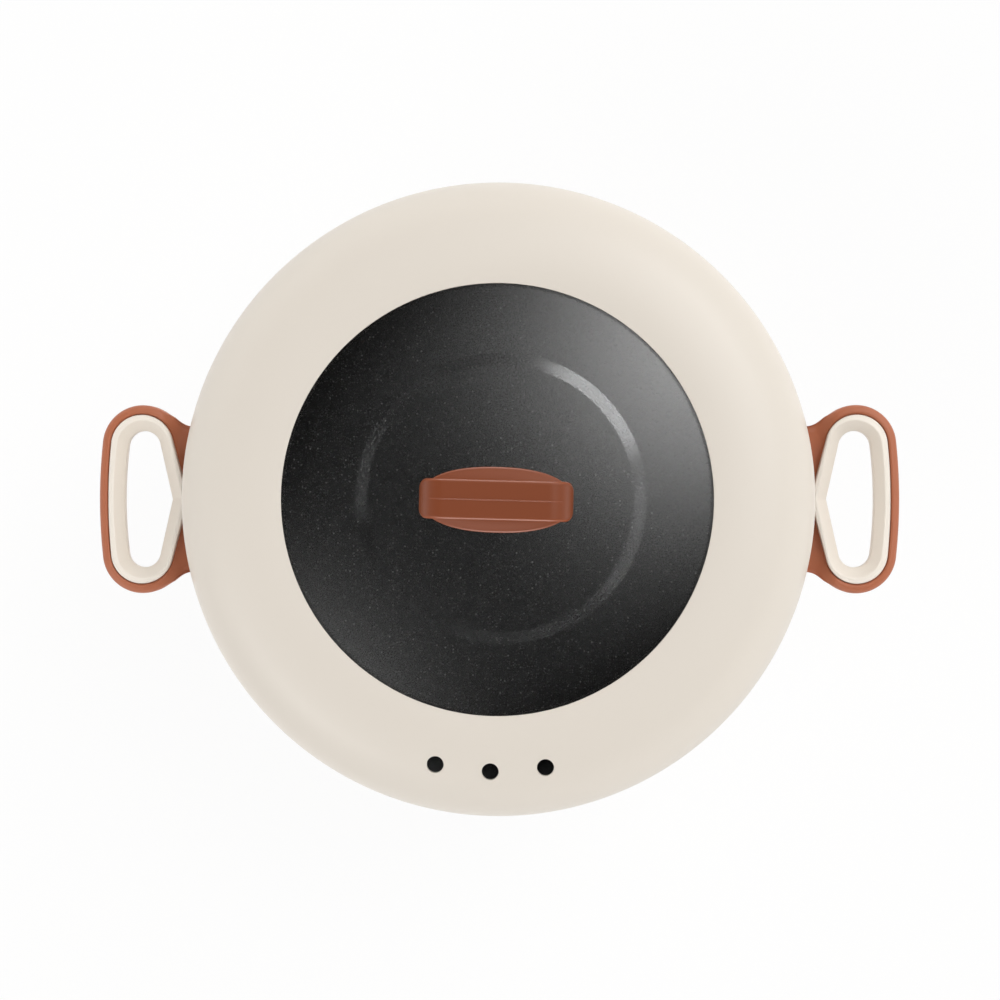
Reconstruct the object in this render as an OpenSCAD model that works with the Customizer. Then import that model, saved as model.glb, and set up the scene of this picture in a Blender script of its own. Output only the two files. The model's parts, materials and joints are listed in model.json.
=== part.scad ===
// Electric hot pot: a lift-out non-stick pot in a cream body with a heating plate, a rotary switch,
// two loop handles and a lift-off lid with a glass window. Millimetres, +Z up, front at -Y.
// The origin is on the surface that the feet stand on, below the middle of the pot.

/* [Pot] */
// Inside diameter of the pot at its mouth
pot_mouth_d = 272; // [256:1:300]
// Inside depth from the flange to the outer floor
pot_depth = 85; // [75:1:110]
// Thickness of the pot's wall and floor
pot_wall = 2.5; // [2:0.1:3]
// Radius between the pot's floor and wall
pot_corner_r = 20; // [15:1:24]
// Lean of the pot's wall from upright, in degrees
pot_taper = 4; // [2:0.5:6]
// Width of the flange around the mouth
pot_flange_w = 13.5; // [12:0.5:16]
// Thickness of that flange
pot_flange_t = 2; // [1.5:0.1:3]
// Diameter of the raised middle of the floor
plateau_d = 134; // [120:1:140]
// Height of the raised middle
plateau_h = 4; // [3:0.5:5]
// Width of the sloping step around it
plateau_slope_w = 6.5; // [5:0.5:8]

/* [Body] */
// Height of the pedestal
base_h = 40; // [38:1:50]
// Diameter of the pedestal
base_d = 232; // [228:1:244]
// Wall of the pedestal and thickness of its deck
base_wall = 2.8; // [2.2:0.1:3.4]
// Wall of the upper shell
shell_wall = 2.6; // [2:0.1:3.2]
// Thickness of the sheet-metal holding pan
pan_t = 1; // [0.8:0.1:1.2]
// Inside diameter of the well in the pan
well_d = 160; // [154:1:166]
// Thickness of the base cover
cover_t = 2.5; // [2:0.1:3.5]
// Height of the feet below the base cover
foot_h = 5; // [4:0.5:8]
// Diameter of a foot
foot_d = 18; // [14:0.5:20]

/* [Heater] */
// Thickness of the heating plate
plate_t = 10; // [8:0.5:12]
// Height of the spacers under the plate
spacer_h = 10; // [9.5:0.5:11]
// Diameter of the heating tube
tube_d = 7.2; // [6:0.2:8]
// Radius of the heating tube's ring
tube_ring_r = 48; // [46:0.5:50]
// Diameter of the sensor cap in the middle of the plate
sensor_d = 26; // [24:0.5:28]
// Way that the sensor gives under the pot
sensor_travel = 2.5; // [1:0.1:3]

/* [Lid] */
// How far the lid stands out past the pot's flange
lid_overhang = 1.5; // [1:0.1:3]
// Radius of the lid's crown
lid_crown_r = 600; // [520:10:720]
// Radius that rounds the crown into the skirt
lid_edge_r = 28; // [26:1:30]
// Height of the upright skirt
lid_skirt_h = 6; // [4:0.5:10]
// Thickness of the lid ring
lid_wall = 3; // [2.6:0.1:3.4]
// Diameter of the window
window_d = 202.8; // [196:0.2:206]
// Thickness of the lip over the glass
lip_t = 2.2; // [1.8:0.1:2.5]
// Thickness of the glass
glass_t = 4; // [3:0.5:5]
// How far the glass reaches under the lip
glass_lap = 6; // [4:0.5:6.5]
// Diameter of a steam vent
vent_d = 7.6; // [5:0.2:8]
// Radius of the circle that the vents lie on
vent_circle_r = 127.6; // [127:0.2:129]
// Angle between two vents, in degrees
vent_pitch = 11.7; // [10:0.1:14]
// Turn of the lid on the pot, clockwise from above, in degrees
lid_turn = 1.5; // [0:0.5:10]

/* [Lid handle] */
// Length of the strap
strap_l = 71; // [66:1:80]
// Width of the strap
strap_w = 18.4; // [15:0.2:20]
// Height of the strap above its pad
strap_h = 30; // [28:1:38]
// Thickness of the bar and of the legs
strap_t = 8; // [7:0.5:9]
// Width of the oval foot
foot_oval_w = 30.6; // [28:0.2:34]
// Thickness of the silicone pad in the middle
pad_t = 2; // [1.5:0.1:3]
// Distance between the handle's two screws
strap_screw_pitch = 40; // [34:1:44]

/* [Side handles] */
// Reach of the handle from the shell
handle_reach = 47.5; // [44:0.1:52]
// Length of the handle along the body
handle_l = 91; // [86:1:100]
// Thickness of the handle
handle_t = 15; // [13:0.5:18]
// Radius of the loop's ends
loop_end_r = 19.5; // [18:0.5:23]
// How far the loop's long side swells past its ends
loop_swell = 1.4; // [0.5:0.1:2]
// Width of the root on the body
root_w = 71; // [64:1:74]
// Width of the band outside the insert
band_w = 4.5; // [3:0.1:5]
// Length of the finger hole
finger_l = 66; // [60:0.2:70]
// Depth of the finger hole at its peak
finger_depth = 23; // [20:0.1:24]
// Radius of the finger hole's ends
finger_end_r = 7.8; // [5:0.1:9]
// Thickness of the floor under the insert
handle_floor_t = 4.5; // [3.5:0.1:6]
// Distance from the flange down to the handle
handle_drop = 12; // [10:0.5:20]

/* [Controls] */
// Diameter of the knob
knob_d = 27; // [24:0.5:28]
// Length of the knob
knob_l = 15; // [12:0.5:17]
// Diameter of the switch shaft
shaft_d = 6; // [5:0.1:7]
// Depth of the flats for the knob and the inlet
flat_depth = 3; // [2.8:0.1:4]
// Width of the inlet's cavity
inlet_w = 24; // [22:0.5:26]
// Height of the inlet's cavity
inlet_h = 16; // [14:0.5:17]
// Depth of the inlet's cavity
inlet_depth = 16.5; // [15:0.5:20]

/* [Hidden] */
$fn = 72;

// Clearances, and how far a cut runs past what it cuts
fit = 0.05;
seat_gap = 0.3;
slip = 0.2;
pan_gap = 1.5;
air_gap = 3.5;
rim_gap = 0.4;
over = 1;

// Offsets of the nested walls from the pot's inside
pan_in = pot_wall + pan_gap;
pan_out = pan_in + pan_t;
shell_in = pan_out + air_gap;
shell_out = shell_in + shell_wall;

// Levels, from the feet up
base_z = foot_h;
cover_top_z = base_z + cover_t;
knob_z = base_z + base_h / 2;
deck_z = base_z + base_h;
floor_z = deck_z + shell_out;
plateau_z = floor_z + plateau_h;
flange_z = floor_z + pot_depth;
rim_z = flange_z - pot_flange_t;
plate_top_z = floor_z - pot_wall;
plate_z = plate_top_z - plate_t;
well_z = plate_z - spacer_h;
well_under_z = well_z - pan_t;
pan_floor_z = floor_z - pan_out;
pan_top_z = rim_z - rim_gap;
shell_top_z = pan_top_z - pan_t;

// Radii of the bowl
mouth_r = pot_mouth_d / 2;
flange_r = mouth_r + pot_flange_w;
base_r = base_d / 2;
base_in_r = base_r - base_wall;
well_r = well_d / 2;
corner_z = floor_z + pot_corner_r;
corner_x = mouth_r - (flange_z - corner_z) * tan(pot_taper) - pot_corner_r / cos(pot_taper);
plateau_r = plateau_d / 2;
plate_inset = 2.5;
plate_r = plateau_r - plate_inset;
plate_bevel = 1.5;
deck_gap = 4;
deck_open_r = well_r + pan_t + deck_gap;

// Screws: shank, hole and head, and a thinner size
screw_r = 2;
screw_hole_r = screw_r + slip;
head_r = 3.8;
head_h = 2.2;
thin_screw_r = 1.5;
thin_hole_r = thin_screw_r + slip;
thin_head_r = 2.8;
thin_head_h = 1.8;

// Screws, nuts and feet of the base
pan_screw_inset = 8;
pan_screw_r = deck_open_r + pan_screw_inset;
pan_screw_angles = [0, 90, 180, 270];
nut_r = 4;
cover_boss_r = 4.5;
cover_boss_gap = 2;
cover_boss_at = base_in_r - cover_boss_r - cover_boss_gap;
cover_boss_angles = [22, 158, 202, 338];
cover_screw_l = 12;
foot_inset = 9;
foot_ring_r = base_r - foot_d / 2 - foot_inset;
foot_angles = [45, 135, 225, 315];
foot_edge = 1;
foot_stem_r = 4;
foot_barb_r = 5.5;
foot_barb_t = 2;
slot_count = 12;
slot_from_r = 34;
slot_l = 20;
slot_w = 3;

// Heating tube, its terminals and the plate's screws
tube_gap_angle = 40;
groove_gap = 0.1;
tube_sink = 1;
tube_z = plate_z - tube_sink;
tube_hole_gap = 1.4;
cold_pin_step = 0.6;
terminal_drop = 7;
terminal_z = well_z - terminal_drop;
terminal_x = tube_ring_r * sin(tube_gap_angle / 2);
terminal_y = tube_ring_r * cos(tube_gap_angle / 2);
tab_l = 8;
tab_w = 6;
tab_t = 0.8;
tab_z = terminal_z - tab_l;
spacer_r = 4.5;
plate_screw_r = 31;
plate_screw_angles = [30, 150, 270];
plate_screw_depth = 5.5;

// Sprung sensor
sensor_gap = 1.5;
sensor_top_z = plate_top_z - seat_gap;
cap_t = 1.2;
cap_wall = 1;
cap_h = 9;
thermostat_inset = 4;
stem_disc_t = 1.5;
stem_disc_z = sensor_top_z - cap_h;
stem_r = 4;
stem_tail = 3;
guide_r = 6;
guide_drop = 7;
guide_gap = 2;
guide_flange_w = 3;
guide_flange_t = 2;
guide_top_z = stem_disc_z - sensor_travel - guide_gap;
guide_bottom_z = well_under_z - guide_drop;
clip_t = 1.5;
clip_w = 2.5;
groove_depth = 1;
clip_groove_z = guide_bottom_z - clip_t - seat_gap;
spring_wire_r = 0.7;
spring_gap = 2;
spring_turns = 4;

// Fuse below the well, along X, and its clip
fuse_x = -31;
fuse_y = -2;
fuse_r = 2.2;
fuse_l = 12;
fuse_wire_r = 0.6;
fuse_wire_l = 2.6;
fuse_z = well_under_z - fuse_r - slip;
fuse_clip_t = 0.8;
fuse_clip_w = 6;
fuse_clip_wing = 4;

// Lid
lid_r = flange_r + lid_overhang;
edge_x = lid_r - lid_edge_r;
edge_z = flange_z + lid_skirt_h;
crown_z = edge_z - sqrt(pow(lid_crown_r - lid_edge_r, 2) - pow(edge_x, 2));
crown_angle = asin(edge_x / (lid_crown_r - lid_edge_r));
lid_top_z = crown_z + lid_crown_r;
lid_cut_h = lid_top_z - flange_z + over;
skirt_lip = 1.5;
window_r = window_d / 2;
glass_r = window_r + glass_lap;
glass_gap = 0.6;
seal_t = 0.8;
seal_inset = 0.4;
glass_in = lip_t + seal_t;
glass_out = glass_in + glass_t;
collar_in_r = glass_r + glass_gap;
collar_w = 2.5;
collar_out_r = collar_in_r + collar_w;
retainer_t = 2;
retainer_w = 8;
retainer_inset = 1.5;
retainer_in = glass_out + groove_gap;
retainer_out = retainer_in + retainer_t;
retainer_r = collar_out_r + retainer_w;
retainer_screw_r = retainer_r - retainer_w / 2;
retainer_screws = 6;
retainer_screw_l = 6;
lid_boss_r = 3.5;
lid_boss_cover = 1.2;
lid_bore_cover = 2;
vent_count = 3;

// Lid handle
pad_z = lid_top_z - glass_in + pad_t;
pad_inset = 1;
strap_corner_r = 11;
strap_edge_r = 2;
strap_plan_r = 4;
strap_foot_h = 6;
strap_foot_edge = 2;
strap_gap_r = 6;
insert_r = 3.4;
insert_l = 5;
insert_spare = 0.5;
glass_hole_r = 3;
washer_r = 6;
washer_t = 1.2;
washer_z = crown_z + sqrt(pow(lid_crown_r - glass_out, 2) - pow(strap_screw_pitch / 2 + washer_r, 2)) - fit;

// Side handles, at reach handle_x from the middle
handle_top_z = flange_z - handle_drop;
handle_z = handle_top_z - handle_t;
handle_x = wall_r(handle_z + handle_t / 2, shell_out) + handle_reach;
loop_x = handle_x - loop_swell - loop_end_r;
loop_y = handle_l / 2 - loop_end_r;
loop_edge_r = 4;
bow_steps = 3;
root_inset = 1.5;
root_fillet = 8;
root_side_inset = 0.9;
insert_rim = 7.1;
insert_end_r = finger_end_r + insert_rim;
insert_swell = 1.3;
band_end = 0.25;
insert_y = handle_l / 2 - band_w - band_end - insert_end_r;
insert_x = handle_x - band_w - insert_end_r - insert_swell;
insert_proud = 1;
insert_h = handle_t - handle_floor_t + insert_proud;
insert_edge_r = 1.2;
insert_gap = 0.15;
insert_peak_r = 4;
finger_rim = 7.6;
finger_swell = 1.6;
finger_y = finger_l / 2 - finger_end_r;
finger_out_x = handle_x - band_w - finger_rim;
finger_x = finger_out_x - finger_swell - finger_end_r;
finger_peak_x = finger_out_x - finger_depth;
finger_peak_r = 1.5;
floor_hole_gap = 0.8;
peak_rim = 7.6;
insert_peak_x = finger_peak_x - peak_rim;
chamfer_w = 5;
chamfer_h = 5;
handle_screw_y = 22;
handle_screw_drop = 2;
handle_screw_z = handle_z + handle_t / 2 - handle_screw_drop;
handle_screw_l = 10;
handle_head_r = 3.4;
handle_head_h = 1;
spot_depth = 0.4;
handle_seat_x = sqrt(pow(wall_r(handle_screw_z, shell_in), 2) - pow(handle_screw_y, 2)) + spot_depth;

// Controls on the front flat
flat_r = base_r - flat_depth;
flat_w = 2 * sqrt(base_r * base_r - flat_r * flat_r);
panel_extra = 0.7;
panel_t = base_wall + panel_extra;
panel_lap = 2;
panel_inset = 0.5;
neck_r = 5;
neck_l = 2.2;
switch_nut_w = 3.2;
switch_w = 24;
switch_l = 14;
shaft_r = shaft_d / 2;
shaft_in = 9;
shaft_end = 4;
knob_gap = 0.6;
knob_back = neck_l + knob_gap;
knob_draft = 0.3;
knob_edge_r = 2;
knob_skin = 3.8;
inlay_inset = 3;
inlay_t = 1.2;
ridge_w = 1.6;
ridge_l = 3.4;
ridge_back = 2;
ridge_front = 2.5;
bezel_w = 2.8;
bezel_t = 1.2;
bezel_gap = 1;
lens_x = 21.5;
lens_r = 2.4;
lens_rim = 1;
lens_rim_t = 1;
lamp_r = 2.2;
lamp_l = 9;

// Inlet on the rear flat
inlet_wall = 1.6;
inlet_rim = 3;
inlet_rim_r = 3;
inlet_rim_t = 2;
inlet_back = inlet_rim_t - inlet_depth - inlet_wall;
pin_t = 2;
pin_w = 4;
pin_l = 11;
pin_tail = 5;
pin_x = 7;
pin_rise = 2.2;
pin_places = [[-pin_x, -pin_rise], [0, pin_rise], [pin_x, -pin_rise]];

// Leads inside the base, from their terminals through points chosen by hand
lead_r = 1.3;
lead_end = 0.3;
lead_straight = 2;
lead_rise = 6.5;
lead_foot_gap = 10;
lead_switch_x = 8;
lead_low_z = cover_top_z + lead_rise;
lead_turn_z = (cover_top_z + tab_z) / 2;
lead_run_r = foot_ring_r - lead_foot_gap;
lead_tail_y = flat_r + inlet_back - pin_tail - lead_end;
lead_switch_y = panel_t + switch_l + lead_end - flat_r;
lead_fuse_x = fuse_l / 2 + fuse_wire_l + lead_end;
lead_to_switch = concat(
    [[-pin_x, lead_tail_y, knob_z - pin_rise], [-pin_x, lead_tail_y - lead_straight, knob_z - pin_rise]],
    [[-pin_x - 1, lead_tail_y - 6, knob_z - pin_rise - 2]],
    [for (a = [110:20:250]) [lead_run_r * cos(a), lead_run_r * sin(a), lead_low_z]],
    [[-lead_switch_x, lead_switch_y + 5, knob_z - 1], [-lead_switch_x, lead_switch_y, knob_z]]
);
lead_to_fuse = [
    [lead_switch_x, lead_switch_y, knob_z], [lead_switch_x, lead_switch_y + 5, knob_z - 1],
    [14, lead_switch_y + 21, lead_low_z + 2], [24, -50, lead_low_z], [20, -24, lead_low_z],
    [4, -12, lead_low_z + 1], [-8, -6, fuse_z - 12], [-14, -3, fuse_z - 5.5], [-18, fuse_y, fuse_z - 1],
    [fuse_x + lead_fuse_x, fuse_y, fuse_z]
];
lead_to_heater = [
    [fuse_x - lead_fuse_x, fuse_y, fuse_z], [-44, fuse_y, fuse_z - 1], [-48, 4, fuse_z - 6.5],
    [-46, 20, lead_low_z + 4], [-34, 38, lead_low_z], [-terminal_x - 6, terminal_y, lead_turn_z - 1.5],
    [-terminal_x, terminal_y, lead_turn_z + 0.5], [-terminal_x, terminal_y, tab_z - lead_end]
];
lead_neutral = [
    [pin_x, lead_tail_y, knob_z - pin_rise], [pin_x, lead_tail_y - lead_straight, knob_z - pin_rise],
    [pin_x + 1, lead_tail_y - 6, knob_z - pin_rise - 2],
    [16, terminal_y + 27, lead_low_z], [20, terminal_y + 13, lead_turn_z - 1.5],
    [terminal_x + 1.5, terminal_y + 3, lead_turn_z - 1.5],
    [terminal_x, terminal_y, lead_turn_z + 0.5], [terminal_x, terminal_y, tab_z - lead_end]
];
lead_earth = [
    [0, lead_tail_y, knob_z + pin_rise], [0, lead_tail_y - 6, knob_z + pin_rise], [6, 74, well_under_z - 5],
    [12, 66, well_under_z - 5], [24, 58, well_under_z - 5], [36, 50, well_under_z - 5],
    [45, 40, well_under_z - 5], [46, 38, well_under_z - lead_straight - lead_end],
    [46, 38, well_under_z - lead_end]
];

cream = "#e1dacf";
brown = "#a05c3e";
coating = "#3a3a3c";
steel = "#b8bbbf";
rubber = "#3c3633";

// Points of an arc from angle a to angle b
function arc(x, y, r, a, b, n = 10) =
    [for (i = [0:n]) let (t = a + (b - a) * i / n) [x + r * cos(t), y + r * sin(t)]];

function reversed(p) = [for (i = [len(p) - 1:-1:0]) p[i]];

// Radius of the pot's wall at height z, moved out by d
function wall_r(z, d) = mouth_r - (flange_z - z) * tan(pot_taper) + d / cos(pot_taper);

// Side of the bowl, moved out by d, from the edge of the floor up to height top
function bowl_side(d, top) =
    concat(arc(corner_x, corner_z, pot_corner_r + d, -90, -pot_taper), [[wall_r(top, d), top]]);

// Height of the lid's outside at radius r, moved inwards by d
function lid_z(r, d) =
    r < (lid_crown_r - d) * sin(crown_angle)
    ? crown_z + sqrt(pow(lid_crown_r - d, 2) - r * r)
    : edge_z + sqrt(max(0, pow(lid_edge_r - d, 2) - pow(r - edge_x, 2)));

// Points of the lid's surface between two radii, moved inwards by d
function lid_curve(r_from, r_to, d, n = 8) =
    [for (i = [0:n]) let (r = r_from + (r_to - r_from) * i / n) [r, lid_z(r, d)]];

// Rounded rectangle of width w and height h, standing on y = 0
function round_top(w, h, r, n = 6) =
    concat([[-w / 2, 0], [w / 2, 0]], arc(w / 2 - r, h - r, r, 0, 90, n),
        arc(r - w / 2, h - r, r, 90, 180, n));

function round_rect(w, h, r, n = 6) = concat(
    arc(w / 2 - r, h / 2 - r, r, 0, 90, n), arc(r - w / 2, h / 2 - r, r, 90, 180, n),
    arc(r - w / 2, r - h / 2, r, 180, 270, n), arc(w / 2 - r, r - h / 2, r, 270, 360, n)
);

// Oval that is a little fuller than an ellipse
function oval(l, w, n = 72, power = 2.3) = [
    for (i = [0:n - 1]) let (c = cos(360 * i / n), s = sin(360 * i / n))
        [l / 2 * sign(c) * pow(abs(c), 2 / power), w / 2 * sign(s) * pow(abs(s), 2 / power)]
];

module at_polar(r, a, z = 0) {
    rotate([0, 0, a]) translate([r, 0, z]) children();
}

module tube(r_out, r_in, h) {
    difference() {
        cylinder(r = r_out, h = h);
        translate([0, 0, -over]) cylinder(r = r_in, h = h + 2 * over);
    }
}

// Screw that points up, with the top of its head at z = 0
module screw(r, length, head_r, head_h) {
    cylinder(r = r, h = length);
    translate([0, 0, -head_h]) cylinder(r = head_r, h = head_h);
}

// Turns what is built along +Z to stand on the front flat, or on the rear one
module on_front(x, z) {
    translate([x, -flat_r, z]) rotate([90, 0, 0]) children();
}

module on_rear(x, z) {
    translate([x, flat_r, z]) rotate([-90, 0, 0]) children();
}

// Sweeps a round tube of radius r through the points of a path
function path_dir(p, i) = let (
    a = p[max(i - 1, 0)], b = p[min(i + 1, len(p) - 1)], d = b - a
) d / norm(d);

function ring_frame(d) = let (
    up = abs(d.z) > 0.9 ? [1, 0, 0] : [0, 0, 1], x = cross(up, d), u = x / norm(x)
) [u, cross(d, u)];

function tube_points(p, r, sides) = [
    for (i = [0:len(p) - 1]) let (f = ring_frame(path_dir(p, i)))
        for (k = [0:sides - 1]) p[i] + r * (cos(360 * k / sides) * f[0] + sin(360 * k / sides) * f[1])
];

function tube_faces(count, sides) = concat(
    [[for (k = [sides - 1:-1:0]) k]],
    [for (i = [0:count - 2]) for (k = [0:sides - 1])
        let (a = i * sides + k, b = i * sides + (k + 1) % sides)
            each [[a, b, b + sides], [a, b + sides, a + sides]]],
    [[for (k = [0:sides - 1]) (count - 1) * sides + k]]
);

module swept_tube(p, r, sides = 8) {
    polyhedron(points = tube_points(p, r, sides), faces = tube_faces(len(p), sides));
}

// The non-stick pot, with a raised middle and a flat underside for the heating plate
module inner_pot() {
    color(coating) rotate_extrude() polygon(concat(
        [[0, plateau_z], [plateau_r, plateau_z], [plateau_r + plateau_slope_w, floor_z]],
        bowl_side(0, rim_z),
        reversed(bowl_side(pot_wall, rim_z)),
        [[0, plate_top_z]]
    ));
}

// Flat ring around the pot's mouth, which the lid rests on
module pot_rim() {
    color(steel) rotate_extrude() polygon([
        [wall_r(rim_z, 0), rim_z], [flange_r, rim_z], [flange_r, flange_z], [mouth_r, flange_z]
    ]);
}

// Sheet-metal pan that the pot hangs in and that carries the heating plate
module holding_pan() {
    flange_out_r = wall_r(pan_top_z, shell_out) - over;
    color(steel) difference() {
        rotate_extrude() polygon(concat(
            bowl_side(pan_in, pan_top_z),
            [[flange_out_r, pan_top_z], [flange_out_r, shell_top_z]],
            reversed(bowl_side(pan_out, shell_top_z)),
            [[well_r + pan_t, pan_floor_z], [well_r + pan_t, well_under_z], [0, well_under_z],
             [0, well_z], [well_r, well_z], [well_r, pan_floor_z + pan_t]]
        ));
        for (a = pan_screw_angles) at_polar(pan_screw_r, a, pan_floor_z - over)
            cylinder(r = screw_hole_r, h = pan_t + 2 * over);
        for (a = plate_screw_angles) at_polar(plate_screw_r, a, well_under_z - over)
            cylinder(r = screw_hole_r, h = pan_t + 2 * over);
        for (s = [-1, 1]) at_polar(tube_ring_r, 90 + s * tube_gap_angle / 2, well_under_z - over)
            cylinder(r = tube_d / 2 + tube_hole_gap, h = pan_t + 2 * over);
        translate([0, 0, well_under_z - over]) cylinder(r = guide_r + slip, h = pan_t + 2 * over);
    }
}

// Cream wall of the body, with holes and flats inside for the handles' screws
module upper_shell() {
    color(cream) difference() {
        rotate_extrude() polygon([
            [wall_r(corner_z, shell_in), corner_z], [wall_r(shell_top_z, shell_in), shell_top_z],
            [wall_r(shell_top_z, shell_out), shell_top_z], [wall_r(corner_z, shell_out), corner_z]
        ]);
        for (side = [0, 180], y = [-1, 1]) rotate([0, 0, side])
            translate([0, y * handle_screw_y, handle_screw_z]) rotate([0, 90, 0]) {
                cylinder(r = screw_hole_r, h = handle_x);
                cylinder(r = handle_head_r + slip, h = handle_seat_x);
            }
    }
}

// Cream bottom of the body, which curves in to the pedestal
module lower_shell() {
    color(cream) difference() {
        rotate_extrude() polygon(concat(
            [[deck_open_r, deck_z + shell_wall]],
            bowl_side(shell_in, corner_z),
            reversed(bowl_side(shell_out, corner_z)),
            [[deck_open_r, deck_z]]
        ));
        for (a = pan_screw_angles) at_polar(pan_screw_r, a, deck_z - over)
            cylinder(r = screw_hole_r, h = shell_wall + 2 * over);
    }
}

// Pedestal with a deck on top, a flat for the controls in front and one for the inlet behind
module base_housing() {
    pad_w = flat_w + 2 * panel_lap;
    hole_w = inlet_w + 2 * (inlet_wall + slip);
    hole_h = inlet_h + 2 * (inlet_wall + slip);
    color(cream) difference() {
        union() {
            difference() {
                translate([0, 0, base_z]) cylinder(r = base_r, h = base_h);
                translate([0, 0, base_z - over]) cylinder(r = base_in_r, h = base_h + over - base_wall);
                translate([0, 0, base_z]) cylinder(r = deck_open_r, h = base_h + over);
            }
            intersection() {
                translate([0, 0, base_z]) cylinder(r = base_r - panel_inset, h = base_h - panel_inset);
                for (s = [-1, 1]) translate([-pad_w / 2, s > 0 ? flat_r - panel_t : -flat_r, base_z])
                    cube([pad_w, panel_t, base_h - panel_inset]);
            }
            for (a = cover_boss_angles) at_polar(cover_boss_at, a, cover_top_z)
                cylinder(r = cover_boss_r, h = base_h - cover_t - base_wall / 2);
        }
        for (s = [-1, 1]) translate([-pad_w, s > 0 ? flat_r : -flat_r - flat_depth - over, base_z - over])
            cube([2 * pad_w, flat_depth + over, base_h + 2 * over]);
        for (a = cover_boss_angles) at_polar(cover_boss_at, a, cover_top_z - over)
            cylinder(r = thin_screw_r + fit, h = cover_screw_l + over);
        for (a = pan_screw_angles) at_polar(pan_screw_r, a, deck_z - base_wall - over)
            cylinder(r = screw_hole_r, h = base_wall + 2 * over);
        on_front(0, knob_z) translate([0, 0, -panel_t - over])
            cylinder(r = neck_r + slip, h = panel_t + 2 * over);
        on_front(lens_x, knob_z) translate([0, 0, -panel_t - over])
            cylinder(r = lens_r + slip, h = panel_t + 2 * over);
        on_rear(0, knob_z) translate([-hole_w / 2, -hole_h / 2, -panel_t - over])
            cube([hole_w, hole_h, panel_t + 2 * over]);
    }
}

// Plate that closes the pedestal from below, with slots for cooling air
module base_cover() {
    half_w = flat_r - panel_t - seat_gap;
    color(rubber) difference() {
        translate([0, 0, base_z]) intersection() {
            cylinder(r = base_in_r - seat_gap, h = cover_t);
            translate([-base_r, -half_w, 0]) cube([base_d, 2 * half_w, cover_t]);
        }
        for (a = foot_angles) at_polar(foot_ring_r, a, base_z - over)
            cylinder(r = foot_stem_r, h = cover_t + 2 * over);
        for (a = cover_boss_angles) at_polar(cover_boss_at, a, base_z - over)
            cylinder(r = thin_hole_r, h = cover_t + 2 * over);
        for (i = [0:slot_count - 1]) at_polar(slot_from_r, 360 * i / slot_count, base_z - over)
            translate([0, -slot_w / 2, 0]) cube([slot_l, slot_w, cover_t + 2 * over]);
    }
}

// Push-in rubber feet
module base_feet() {
    stem = foot_stem_r - slip;
    color(rubber) for (a = foot_angles) at_polar(foot_ring_r, a) rotate_extrude() polygon([
        [0, 0], [foot_d / 2 - foot_edge, 0], [foot_d / 2, foot_edge], [foot_d / 2, base_z], [stem, base_z],
        [stem, cover_top_z], [foot_barb_r, cover_top_z], [foot_stem_r, cover_top_z + foot_barb_t],
        [0, cover_top_z + foot_barb_t]
    ]);
}

module base_screws() {
    color(steel) for (a = cover_boss_angles) at_polar(cover_boss_at, a, base_z)
        screw(thin_screw_r, cover_screw_l, thin_head_r, thin_head_h);
}

// Screws that clamp the pedestal, the lower shell and the pan together
module pan_screws() {
    color(steel) for (a = pan_screw_angles) at_polar(pan_screw_r, a, deck_z - base_wall)
        screw(screw_r, pan_floor_z + pan_t - deck_z + base_wall, head_r, head_h);
}

module pan_nuts() {
    color(steel) for (a = pan_screw_angles) at_polar(pan_screw_r, a, deck_z + shell_wall) difference() {
        cylinder(r = nut_r, h = air_gap, $fn = 6);
        translate([0, 0, -over]) cylinder(r = screw_r + fit, h = air_gap + 2 * over);
    }
}

// Cast plate with a groove for the heating tube below and a hole for the sensor
module heating_plate() {
    hole_r = sensor_d / 2 + sensor_gap;
    color("#c9ccd0") difference() {
        rotate_extrude() polygon([
            [hole_r, plate_z], [plate_r, plate_z], [plate_r, plate_top_z - plate_bevel],
            [plate_r - plate_bevel, plate_top_z], [hole_r, plate_top_z]
        ]);
        translate([0, 0, tube_z]) rotate_extrude() translate([tube_ring_r, 0])
            circle(r = tube_d / 2 + groove_gap);
        for (a = plate_screw_angles) at_polar(plate_screw_r, a, plate_z - over)
            cylinder(r = screw_r + fit, h = plate_screw_depth + 1.5 * over);
    }
}

// Tubular heater under the plate, with its two terminals
module heating_tube() {
    color("#8d8f92") {
        rotate([0, 0, 90 + tube_gap_angle / 2]) translate([0, 0, tube_z])
            rotate_extrude(angle = 360 - tube_gap_angle) translate([tube_ring_r, 0]) circle(r = tube_d / 2);
        for (s = [-1, 1]) translate([s * terminal_x, terminal_y, terminal_z]) {
            cylinder(r = tube_d / 2 - cold_pin_step, h = tube_z - terminal_z);
            translate([-tab_w / 2, -tab_t / 2, -tab_l]) cube([tab_w, tab_t, tab_l + over]);
        }
    }
}

module plate_spacers() {
    color(steel) for (a = plate_screw_angles) at_polar(plate_screw_r, a, well_z)
        tube(spacer_r, screw_hole_r, spacer_h);
}

module plate_screws() {
    color(steel) for (a = plate_screw_angles) at_polar(plate_screw_r, a, well_under_z)
        screw(screw_r, pan_t + spacer_h + plate_screw_depth, head_r, head_h);
}

module sensor_cap() {
    color("#d5d7da") translate([0, 0, stem_disc_z]) difference() {
        cylinder(r = sensor_d / 2, h = cap_h);
        translate([0, 0, -over]) cylinder(r = sensor_d / 2 - cap_wall, h = cap_h - cap_t + over);
    }
}

module sensor_thermostat() {
    color("#6b4a35") translate([0, 0, stem_disc_z + stem_disc_t])
        cylinder(r = sensor_d / 2 - thermostat_inset, h = cap_h - cap_t - stem_disc_t);
}

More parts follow.
